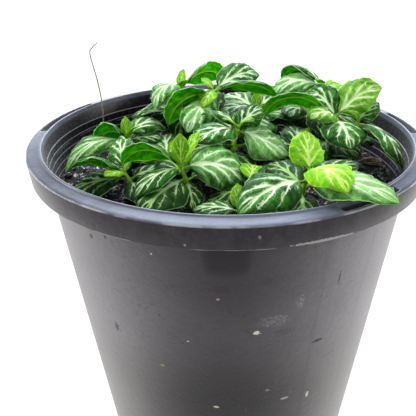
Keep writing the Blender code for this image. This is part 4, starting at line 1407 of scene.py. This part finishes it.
def drill_drains(pot):
    """Cuts the drainage holes through the pot's floor."""
    base_top = FOOT_HEIGHT + BASE_THICKNESS
    points = []
    faces = []
    for k in range(DRAIN_HOLES):
        turn = 2 * math.pi * (k + 0.5) / DRAIN_HOLES
        x = DRAIN_RING * math.cos(turn)
        y = DRAIN_RING * math.sin(turn)
        route = ((x, y, FOOT_HEIGHT - DRILL_PAST), (x, y, base_top + DRILL_PAST))
        some, rims = tube_mesh(route, (DRAIN_RADIUS, DRAIN_RADIUS), FINE_DRAIN_SIDES)
        faces += [tuple(i + len(points) for i in rim) for rim in rims]
        points += some
    mesh = bpy.data.meshes.new("drills")
    mesh.from_pydata([tuple(c * MM for c in point) for point in points], [], faces)
    drills = bpy.data.objects.new("drills", mesh)
    bpy.context.scene.collection.objects.link(drills)
    cut = pot.modifiers.new("drains", "BOOLEAN")
    cut.operation = "DIFFERENCE"
    cut.solver = "EXACT"
    cut.object = drills
    apply_modifiers(pot)
    bpy.data.objects.remove(drills, do_unlink=True)


print(DRAIN_HOLES, "drains of", 2 * DRAIN_RADIUS, "mm")

# %% Turned pot
EDGE_ROUNDING = 0.35
ROUNDED_ANGLE = 28
SHARP_ANGLE = 32


def build_pot():
    angles = pot_angles()
    profiles = [pot_profile(angle) for angle in angles]
    turns = [math.radians(angle) for angle in angles]
    rings = []
    for k in range(len(profiles[0])):
        steps = [profile[k] for profile in profiles]
        rings.append([
            (radius * math.cos(turn), radius * math.sin(turn), height)
            for turn, (radius, height) in zip(turns, steps)
        ])
    points, faces = rings_mesh(rings)
    pot = new_piece("nursery_pot", points, faces, [POT_PLASTIC], "pot")
    rounding = pot.modifiers.new("rounding", "BEVEL")
    rounding.width = EDGE_ROUNDING * MM
    rounding.segments = 2
    rounding.limit_method = "ANGLE"
    rounding.angle_limit = math.radians(ROUNDED_ANGLE)
    apply_modifiers(pot)
    drill_drains(pot)
    pot.data.shade_smooth()
    pot.data.set_sharp_from_angle(angle=math.radians(SHARP_ANGLE))
    return pot


pot = build_pot()
print("pot:", triangles(pot), "triangles")

# %% [markdown]
# ## The potting mix
#
# The bed follows the solid's mound, which is found again by looking straight down on it,
# and gets clods and pits from layered noise. Its side and floor stop just short of the pot.
# Loose crumbs then lie on it: squashed, knocked lumps, more small ones than large.
# Thousands of grains could be scattered by a particle system, but a plain mesh from a seeded
# draw is the same at every run.

# %% Level of the mix
CLOD_HEIGHT = 2.4
CLOD_WIDTH = 6.0
PIT_HEIGHT = 0.9
PIT_WIDTH = 2.6
# Round the bark chip the clods are low: up to how far, over what width, and how low.
CALM_REACH = 6.0
CALM_WIDTH = 12.0
CALM_SHARE = 0.15
LOOK_DOWN_FROM = 230.0
HOLE_DROP = 1.5 * SOIL_LUMP
mix_tree = solid_tree("potting_mix")


def bed_level(x, y):
    """Height of the solid's surface, or of the plain mound over a stem's hole."""
    mound = soil_height(x, y)
    hit = mix_tree.ray_cast(Vector((x, y, LOOK_DOWN_FROM)), Vector((0, 0, -1)))[0]
    if hit is None or hit.z < mound - HOLE_DROP:
        return mound
    return hit.z


def clods(x, y):
    """Height of the clods and pits at a place, in millimetres."""
    near = math.hypot(x - CHIP_PLACE[0], y - CHIP_PLACE[1])
    calm = min(max((near - CALM_REACH) / CALM_WIDTH, CALM_SHARE), 1.0)
    large = noise.fractal(Vector((x / CLOD_WIDTH, y / CLOD_WIDTH, 3.1)), 0.7, 2.1, 3)
    small = noise.fractal(Vector((x / PIT_WIDTH, y / PIT_WIDTH, 8.4)), 0.8, 2.0, 2)
    return calm * (CLOD_HEIGHT * large + PIT_HEIGHT * small)


def fine_level(x, y):
    return bed_level(x, y) + clods(x, y)


print("the mix is", round(fine_level(0.0, 0.0), 1), "mm up in the middle")

# %% Bed of mix
BED_RINGS = 70
BED_TURNS = 220
GAP = 0.3


def build_bed():
    bottom = FOOT_HEIGHT + BASE_THICKNESS + GAP
    top = wall_radius(SOIL_AT_WALL) - WALL_THICKNESS - GAP
    corner = wall_radius(bottom) - WALL_THICKNESS - GAP
    turns = [2 * math.pi * k / BED_TURNS for k in range(BED_TURNS)]
    rings = []
    for inset, rise in SOIL_CORNER:
        radius = corner - inset
        rings.append([(radius * math.cos(t), radius * math.sin(t), bottom + rise) for t in turns])
    rings.append([(top * math.cos(t), top * math.sin(t), SOIL_AT_WALL) for t in turns])
    for k in range(1, BED_RINGS):
        radius = top * (1 - k / BED_RINGS)
        ring = [(radius * math.cos(t), radius * math.sin(t)) for t in turns]
        rings.append([(x, y, fine_level(x, y)) for x, y in ring])
    points, faces = rings_mesh(rings)
    bed = new_piece("mix_bed", points, faces, [MIX_FINISH], "potting_mix")
    colour_points(bed.data, "tone", [(0, 0, 0, 1)] * len(points))
    return bed


bed = build_bed()
print("bed:", triangles(bed), "triangles")

# %% One crumb
# How far a crumb is knocked out of round, how wide the knocks are in half sizes, and how
# high its middle lies over the bed, as a share of its height.
CRUMB_KNOCKS = 0.55
KNOCKS_TO_A_HALF_SIZE = 1.4
CRUMB_LIFT = 0.35


def ball():
    """Points and faces of a small round lump of half size one."""
    mesh = bpy.data.meshes.new("ball")
    shape = bmesh.new()
    bmesh.ops.create_icosphere(shape, subdivisions=2, radius=1.0)
    shape.to_mesh(mesh)
    shape.free()
    points = np.array([tuple(v.co) for v in mesh.vertices])
    faces = [tuple(p.vertices) for p in mesh.polygons]
    bpy.data.meshes.remove(mesh)
    return points, faces


def crumb(draw, points, place, size):
    """A lump at a place: squashed, turned and knocked about."""
    squash = np.array([draw.uniform(0.7, 1.3), draw.uniform(0.6, 1.0), draw.uniform(0.45, 0.8)])
    turn = draw.uniform(0, math.pi)
    shift = Vector((draw.uniform(0, 90), draw.uniform(0, 90), 0))
    knocks = [noise.noise(Vector(p) * KNOCKS_TO_A_HALF_SIZE + shift) for p in points]
    knocked = [np.array(p) * (1 + CRUMB_KNOCKS * knock) for p, knock in zip(points, knocks)]
    lump = np.array(knocked) * squash * size
    cos, sin = math.cos(turn), math.sin(turn)
    x = lump[:, 0] * cos - lump[:, 1] * sin + place[0]
    y = lump[:, 0] * sin + lump[:, 1] * cos + place[1]
    z = lump[:, 2] + fine_level(*place) + size * squash[2] * CRUMB_LIFT
    return np.stack([x, y, z], axis=1)


print("a crumb has", len(ball()[1]), "triangles")

# %% Places for crumbs
CRUMBS = 1100
SMALLEST_CRUMB = 0.5
CRUMB_SPREAD = 2.4
# How far crumbs stay from a stem, from the middle of the bark chip and from the wall.
STEM_ROOM = 2.2
CHIP_ROOM = 10.0
WALL_ROOM = 4.0


def crumb_places(draw):
    """Random places on the bed, clear of the stems, the stalk and the bark chip."""
    feet = [foot for foot, _, _ in SHOOTS.values()] + [STALK_ROUTE[0][:2]]
    reach = wall_radius(SOIL_AT_WALL) - WALL_THICKNESS - WALL_ROOM
    found = []
    while len(found) < CRUMBS:
        radius = reach * math.sqrt(draw.random())
        turn = draw.uniform(0, 2 * math.pi)
        place = (radius * math.cos(turn), radius * math.sin(turn))
        size = SMALLEST_CRUMB + CRUMB_SPREAD * draw.random() ** 3
        if min(math.dist(place, foot) for foot in feet) < STEM_ROOM + size:
            continue
        if math.dist(place, CHIP_PLACE) < CHIP_ROOM + size:
            continue
        found.append((place, size))
    return found


print("crumbs are", 2 * SMALLEST_CRUMB, "to", 2 * (SMALLEST_CRUMB + CRUMB_SPREAD), "mm wide")

# %% Loose crumbs
CRUMB_SEED = 27
# Share of crumbs that are brown bark bits and that are pale grit.
BROWN_SHARE = 0.16
PALE_SHARE = 0.03
# Places where the photo shows a pale grain: its place and its half size.
SEEN_GRAINS = (((99.0, 11.0), 1.3), ((93.0, 42.0), 0.8))
LARGEST_GRIT = 0.9


def build_crumbs():
    draw = random.Random(CRUMB_SEED)
    shape, rims = ball()
    points = []
    faces = []
    tones = []
    for place, size in crumb_places(draw) + list(SEEN_GRAINS):
        seen = (place, size) in SEEN_GRAINS
        kind = draw.random()
        pale = 1.0 if seen or kind < PALE_SHARE else 0.0
        brown = draw.uniform(0.4, 1.0) if PALE_SHARE <= kind < PALE_SHARE + BROWN_SHARE else 0.0
        if pale and not seen:
            size = min(size, LARGEST_GRIT)
        faces += [tuple(i + len(points) for i in rim) for rim in rims]
        points += [tuple(p) for p in crumb(draw, shape, place, size)]
        tones += [(brown * (1 - pale), pale, 0, 1)] * len(shape)
    crumbs = new_piece("mix_crumbs", points, faces, [MIX_FINISH])
    colour_points(crumbs.data, "tone", tones)
    return crumbs


crumbs = build_crumbs()
print("crumbs:", triangles(crumbs), "triangles")

# %% [markdown]
# ## The leafy shoots
#
# A leaf could be a flat sheet with a picture on it, but then it has no underside and no
# thickness where it stands edge on. A fine leaf is a closed shell: an upper and a lower skin
# on the leaf's middle surface, joined round the margin. The skins lie apart by the blade's
# thickness, thin out at the margin, and swell to a round section at the stalk. Between two
# veins the blade bulges a little, and the margin is scalloped by the same veins.

# %% Relief of a leaf
QUILT_SHARE = 0.026
SCALLOP_SHARE = 0.018
# Fine crinkles of the margin: their height as a share of the width, and their number.
CRINKLE_SHARE = 0.014
CRINKLES = 7.5
# The bulge begins at a share of the half width and of the length, and ends before the tip.
BULGE_FROM_RIB = 0.22
BULGE_FROM_STALK = 0.06
BULGE_TO_TIP = 0.2
FLATTER_OUTWARD = 0.45


def blade_share(us):
    return (us - PETIOLE_SHARE) / (1 - PETIOLE_SHARE)


def quilting(us, vs, width):
    """How far the blade bulges between its veins, over the grid, in millimetres."""
    s = blade_share(us)[:, None]
    w = np.abs(vs)[None, :]
    phase = vein_phase(s, w)
    between = np.abs(np.sin(math.pi * phase)) ** 0.8
    inner = np.clip(w / BULGE_FROM_RIB, 0, 1) * np.clip(s / BULGE_FROM_STALK, 0, 1)
    inner = inner * np.clip((1 - s) / BULGE_TO_TIP, 0, 1)
    bulge = QUILT_SHARE * width * between * inner * (1 - FLATTER_OUTWARD * w ** 2)
    scallop = SCALLOP_SHARE * width * np.sin(2 * math.pi * phase) * w ** 4 * inner
    turn = 2 * math.pi * CRINKLES * s + 2.3 * np.sin(9 * s) + np.sign(vs)[None, :]
    crinkle = CRINKLE_SHARE * width * np.sin(turn) * w ** 8 * inner
    return bulge + scallop + crinkle


print("a leaf 30 mm wide bulges by up to", round(QUILT_SHARE * 30, 2), "mm")

# %% Skins of a leaf
SKIN_THICKNESS = 0.5
MARGIN_THICKNESS = 0.24
RIB_DEPTH = 0.028
RIB_WIDTH = 0.09


def skin_offsets(us, vs, width):
    """Distance of the upper and the lower skin from the middle surface."""
    stalk = np.clip((PETIOLE_SHARE + PETIOLE_JOIN - us) / PETIOLE_JOIN, 0, 1)[:, None]
    w = np.abs(vs)[None, :]
    blade = (SKIN_THICKNESS + (MARGIN_THICKNESS - SKIN_THICKNESS) * w ** 3) / 2
    round_stalk = PETIOLE_THICKNESS / 2 * np.sqrt(np.clip(1 - w ** 2, 0.02, 1))
    plain = blade + (round_stalk - blade) * stalk
    s = np.clip(blade_share(us), 0, 1)[:, None]
    rib = RIB_DEPTH * width * (1 - s) * np.exp(-(w / RIB_WIDTH) ** 2) * (1 - stalk)
    return plain, plain + rib


print("a blade is", SKIN_THICKNESS, "mm thick, and", MARGIN_THICKNESS, "mm at its margin")

# %% Fine leaf
LARGE_FINE = (52, 23)
SMALL_FINE = (30, 15)
STALK_ROWS = (0.0, 0.05, 0.1)


def fine_rows(count):
    return np.array(STALK_ROWS + tuple(np.linspace(PETIOLE_SHARE, 1.0, count)))


def fine_leaf(leaf, size):
    """Points, faces, finish numbers and leaf coordinates of one fine leaf."""
    us = fine_rows(size[0])
    vs = np.linspace(-1, 1, size[1])
    middle = leaf_surface(leaf, us, vs)
    normal = leaf_normals(leaf, us, vs)
    middle = middle + quilting(us, vs, leaf[5])[:, :, None] * normal
    above, below = skin_offsets(us, vs, leaf[5])
    upper = middle + above[:, :, None] * normal
    lower = middle - below[:, :, None] * normal
    rows, columns = len(us), len(vs)
    under = rows * columns
    faces = []
    for r in range(rows - 1):
        for c in range(columns - 1):
            a = r * columns + c
            b, d, e = a + 1, a + columns, a + columns + 1
            faces.append((a, b, e, d))
            faces.append((under + d, under + e, under + b, under + a))
    rim = list(range(columns))
    rim += [r * columns + columns - 1 for r in range(1, rows)]
    rim += [(rows - 1) * columns + c for c in range(columns - 2, -1, -1)]
    rim += [r * columns for r in range(rows - 2, 0, -1)]
    for i, j in zip(rim, rim[1:] + rim[:1]):
        faces.append((j, i, under + i, under + j))
    kinds = [0, 1] * ((rows - 1) * (columns - 1)) + [0] * len(rim)
    s = np.repeat(blade_share(us), columns)
    across = np.tile((vs + 1) / 2, rows)
    coordinates = np.tile(np.stack([s, across], axis=1), (2, 1))
    points = np.concatenate([upper.reshape(-1, 3), lower.reshape(-1, 3)])
    return points, faces, kinds, coordinates


print("a large leaf has", LARGE_FINE[0] + len(STALK_ROWS), "rows of", LARGE_FINE[1], "points")

# %% Looks of the leaves
# How young a leaf is and how far its blade is washed out, for the leaves that the photo
# shows best: by shoot and by place in its list.
LOOKS = {
    ("shoot_02", 0): (0.9, 0.4), ("shoot_02", 1): (0.95, 0.35), ("shoot_02", 3): (0.05, 0.75),
    ("shoot_01", 0): (0.0, 0.6),
    ("shoot_03", 0): (0.0, 0.8), ("shoot_07", 0): (0.4, 0.5), ("shoot_07", 3): (0.3, 0.5),
    ("shoot_04", 0): (0.0, 0.7), ("shoot_05", 1): (0.0, 0.65), ("shoot_06", 0): (0.0, 0.65),
    ("shoot_09", 2): (0.0, 0.65),
}
LOOK_SEED = 5


def leaf_look(name, rank, width):
    """Youth and paleness of a leaf; below 0 the leaf is darkened as painted shade."""
    if (name, rank) in LOOKS:
        return LOOKS[name, rank]
    share = SHOOTS[name][2][rank][0]
    if width < LARGE_WIDTH:
        return (0.9, 0.15) if share > UPPER_TIER else (0.5, 0.1)
    # Large low leaves lie under the canopy, so their look below 0 paints shade on them.
    return (0.0, 0.3) if share >= UPPER_TIER else (-0.5, 0.1)


print(len(LOOKS), "leaves have looks of their own")

# %% Swollen stems
FINE_STEM_STEPS = 22
NODE_SWELLING = 0.22
NODE_SPREAD = 0.018


def swollen_radii(name):
    """Stem radii that swell where a pair of leaves grows."""
    radii = stem_radii(FINE_STEM_STEPS)
    shares = {leaf[0] for leaf in SHOOTS[name][2]}
    for k in range(1, len(radii)):
        here = (k - 1) / FINE_STEM_STEPS
        near = min(abs(here - share) for share in shares)
        radii[k] *= 1 + NODE_SWELLING * math.exp(-(near / NODE_SPREAD) ** 2)
    return radii


print("the first stem is up to", round(2 * max(swollen_radii("shoot_01")), 1), "mm thick")

# %% Whole shoots
FINE_STEM_SIDES = 12


def build_shoot(name, draw):
    foot, tip, _ = SHOOTS[name]
    route = stem_route(foot, tip, FINE_STEM_STEPS)
    stem, rims = tube_mesh(route, swollen_radii(name), FINE_STEM_SIDES)
    points = [np.array(stem)]
    faces = list(rims)
    kinds = [2] * len(rims)
    coordinates = [np.zeros((len(stem), 2))]
    looks = [np.tile((0.0, 0.0, 0.0, 1.0), (len(stem), 1))]
    count = len(stem)
    for leaf, rank, _ in placed[name]:
        size = LARGE_FINE if leaf[5] >= LARGE_WIDTH else SMALL_FINE
        some, sides, which, uv = fine_leaf(leaf, size)
        faces += [tuple(i + count for i in side) for side in sides]
        kinds += which
        count += len(some)
        youth_and_shade, pale = leaf_look(name, rank, leaf[5])
        points.append(some)
        coordinates.append(uv)
        looks.append(np.tile((youth_and_shade, pale, draw.random(), 1.0), (len(some), 1)))
    finishes = [LEAF_UPPER, LEAF_UNDER, STEM_FINISH]
    shoot = new_piece("leafy_" + name, np.concatenate(points), faces, finishes, name)
    mesh = shoot.data
    mesh.polygons.foreach_set("material_index", kinds)
    colour_points(mesh, "look", np.concatenate(looks))
    layer = mesh.uv_layers.new(name="leaf")
    corners = np.array([loop.vertex_index for loop in mesh.loops])
    layer.data.foreach_set("uv", np.concatenate(coordinates)[corners].astype(np.float32).ravel())
    return shoot


look_draw = random.Random(LOOK_SEED)
shoots = [build_shoot(name, look_draw) for name in SHOOTS]
print("shoots:", sum(triangles(shoot) for shoot in shoots), "triangles")

# %% [markdown]
# ## The dry stalk and the bark chip
#
# The stalk is a dead one, thin, kinked and broken at the top. Bent by hand it could stray from
# its solid, so it is a tube along a smooth curve through the solid's own route. The chip is a
# bit of bark with a broken surface. It could be shaped anew, but cutting the solid's own shape
# into small faces and roughening it inward keeps it inside its solid.

# %% Dry stalk
STALK_FINE_STEPS = 10
STALK_FINE_SIDES = 9
STALK_SEED = 5
THINNEST_SHARE = 0.9


def through(before, start, end, after, t):
    """A point on the smooth curve that runs through start and end."""
    a, b, c, d = (np.array(p) for p in (before, start, end, after))
    return 0.5 * (
        2 * b + (c - a) * t + (2 * a - 5 * b + 4 * c - d) * t ** 2
        + (3 * b - a - 3 * c + d) * t ** 3
    )


def build_stalk():
    route = []
    radii = []
    last = len(STALK_ROUTE) - 1
    for k in range(last):
        before = STALK_ROUTE[max(k - 1, 0)]
        after = STALK_ROUTE[min(k + 2, last)]
        for step in range(STALK_FINE_STEPS):
            t = step / STALK_FINE_STEPS
            route.append(tuple(through(before, STALK_ROUTE[k], STALK_ROUTE[k + 1], after, t)))
            radii.append(STALK_RADIUS * (1 - STALK_TAPER * (k + t) / last))
    route.append(STALK_ROUTE[last])
    radii.append(STALK_RADIUS * (1 - STALK_TAPER))
    rough = random.Random(STALK_SEED)
    radii = [radius * rough.uniform(THINNEST_SHARE, 1.0) for radius in radii]
    points, faces = tube_mesh(route, radii, STALK_FINE_SIDES)
    return new_piece("dead_stalk", points, faces, [STRAW_FINISH], "dry_stalk")


stalk = build_stalk()
print("stalk:", triangles(stalk), "triangles")

# %% Bark chip
CHIP_CUTS = 9
CHIP_ROUGHNESS = 0.55
# The chip's layers: how close they are sideways and upwards. Its lowest part isn't roughened.
LAYERS_SIDEWAYS = 260
LAYERS_UPWARDS = 700
CHIP_KEPT_FOOT = 0.2


def build_chip():
    shape = bmesh.new()
    shape.from_mesh(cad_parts["bark_chip"].data)
    bmesh.ops.remove_doubles(shape, verts=shape.verts, dist=1e-6)
    bmesh.ops.subdivide_edges(shape, edges=shape.edges, cuts=CHIP_CUTS, use_grid_fill=True)
    bmesh.ops.triangulate(shape, faces=shape.faces)
    shape.normal_update()
    level = (soil_height(*CHIP_PLACE) + GAP) * MM
    for vertex in shape.verts:
        x, y, z = vertex.co
        spread = Vector((x * LAYERS_SIDEWAYS, y * LAYERS_SIDEWAYS, z * LAYERS_UPWARDS))
        layered = noise.fractal(spread, 0.8, 2.0, 3)
        depth = CHIP_ROUGHNESS * MM * min(max(0.5 + layered, 0.0), 1.0)
        if z > level + CHIP_KEPT_FOOT * MM:
            vertex.co -= vertex.normal * depth
    mesh = bpy.data.meshes.new("bark_bit")
    shape.to_mesh(mesh)
    shape.free()
    mesh.materials.clear()
    mesh.materials.append(BARK_FINISH)
    chip = bpy.data.objects.new("bark_bit", mesh)
    bpy.context.scene.collection.objects.link(chip)
    mesh.shade_smooth()
    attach(chip, "root")
    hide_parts("bark_chip")
    return chip


chip = build_chip()
print("chip:", triangles(chip), "triangles")

# %% [markdown]
# ## Floor and light
#
# The photo has the look of a cut-out: white all round, bright and soft. The floor here is a
# wide disc that sweeps up far away, so no edge of it shows in a view from the side. Lit up to
# full white by lamps, such a floor would throw so much light back that the pot's outline and
# the thin stalk would drown in it. So its paint is darker than it looks, and it glows evenly
# just below full white.
#
# Five soft lamps shape the object: a key lamp over the plant, one at each side for the bright
# flanks of the pot, a weak one in front, and a cool window behind that edges the rim. One
# large lamp would be simpler, but it would leave the flanks of a black pot black.

# %% Floor
FLOOR_SIDES = 64
FLOOR_GLOW = 0.96
# The floor's section: radius and height, in metres.
FLOOR_SWEEP = ((5.0, 0.0), (5.6, 0.08), (6.0, 0.4), (6.1, 1.0), (6.1, 1.6))


def add_floor():
    mesh = bpy.data.meshes.new("studio_floor")
    turns = [2 * math.pi * k / FLOOR_SIDES for k in range(FLOOR_SIDES)]
    corners = [
        (radius * math.cos(turn), radius * math.sin(turn), height)
        for radius, height in FLOOR_SWEEP for turn in turns
    ]
    faces = [tuple(range(FLOOR_SIDES))]
    for low in range(0, (len(FLOOR_SWEEP) - 1) * FLOOR_SIDES, FLOOR_SIDES):
        for i in range(FLOOR_SIDES):
            j = (i + 1) % FLOOR_SIDES
            faces.append((low + i, low + j, low + FLOOR_SIDES + j, low + FLOOR_SIDES + i))
    mesh.from_pydata(corners, [], faces)
    mesh.shade_smooth()
    floor = bpy.data.objects.new("studio_floor", mesh)
    bpy.context.scene.collection.objects.link(floor)
    finish, wire, shader = new_finish("studio_white")
    place = wire.make("ShaderNodeTexCoord", output="Object")
    colour = place.noise(3.0, 2.0).ramp(0.3, 0.7).blend(rgb(90, 90, 90), rgb(94, 94, 94))
    plug(shader, colour, "Base Color")
    shader.inputs["Roughness"].default_value = 0.9
    shader.inputs["Emission Color"].default_value = rgb(255, 255, 255)
    shader.inputs["Emission Strength"].default_value = FLOOR_GLOW
    mesh.materials.append(finish)
    return floor


floor = add_floor()
print("floor:", triangles(floor), "triangles,", 2 * FLOOR_SWEEP[-1][0], "m wide")

# %% Sky and lamps
SKY_STRENGTH = 0.16
# Each lamp: its name, its place, the point it looks at, its size and its power in watts.
LAMPS = (
    ("key_lamp", (-0.25, 0.2, 1.3), (0.0, 0.0, 0.2), 0.6, 14.0),
    ("left_lamp", (-1.15, 0.1, 0.45), (0.0, 0.0, 0.15), 0.6, 12.0),
    ("right_lamp", (1.15, 0.1, 0.5), (0.0, 0.0, 0.15), 0.6, 11.0),
    ("fill_lamp", (0.2, -1.0, 1.1), (0.0, 0.0, 0.2), 0.6, 5.0),
    ("window_lamp", (0.0, 1.2, 0.95), (0.0, 0.0, 0.2), 1.0, 22.0),
)
WINDOW_COLOUR = (0.8, 0.9, 1.0)


def add_sky(strength):
    world = bpy.data.worlds.new("studio_sky")
    world.use_nodes = True
    sky = world.node_tree.nodes["Background"]
    sky.inputs["Color"].default_value = (1.0, 1.0, 1.0, 1.0)
    sky.inputs["Strength"].default_value = strength
    bpy.context.scene.world = world


def add_lamp(name, place, target, size, power):
    light = bpy.data.lights.new(name, "AREA")
    light.size = size
    light.energy = power
    lamp = bpy.data.objects.new(name, light)
    lamp.location = place
    away = Vector(place) - Vector(target)
    lamp.rotation_euler = away.to_track_quat("Z", "Y").to_euler()
    bpy.context.scene.collection.objects.link(lamp)
    return lamp


add_sky(SKY_STRENGTH)
lamps = [add_lamp(*lamp) for lamp in LAMPS]
lamps[-1].data.color = WINDOW_COLOUR
bpy.context.scene.view_settings.view_transform = "Standard"
bpy.context.scene.view_settings.look = "Medium High Contrast"
print("lamps:", ", ".join(lamp.name for lamp in lamps))

# %% [markdown]
# ## Size and finish
#
# A finer piece must not make the object larger than its solids. That could be judged by eye,
# but a millimetre doesn't show.
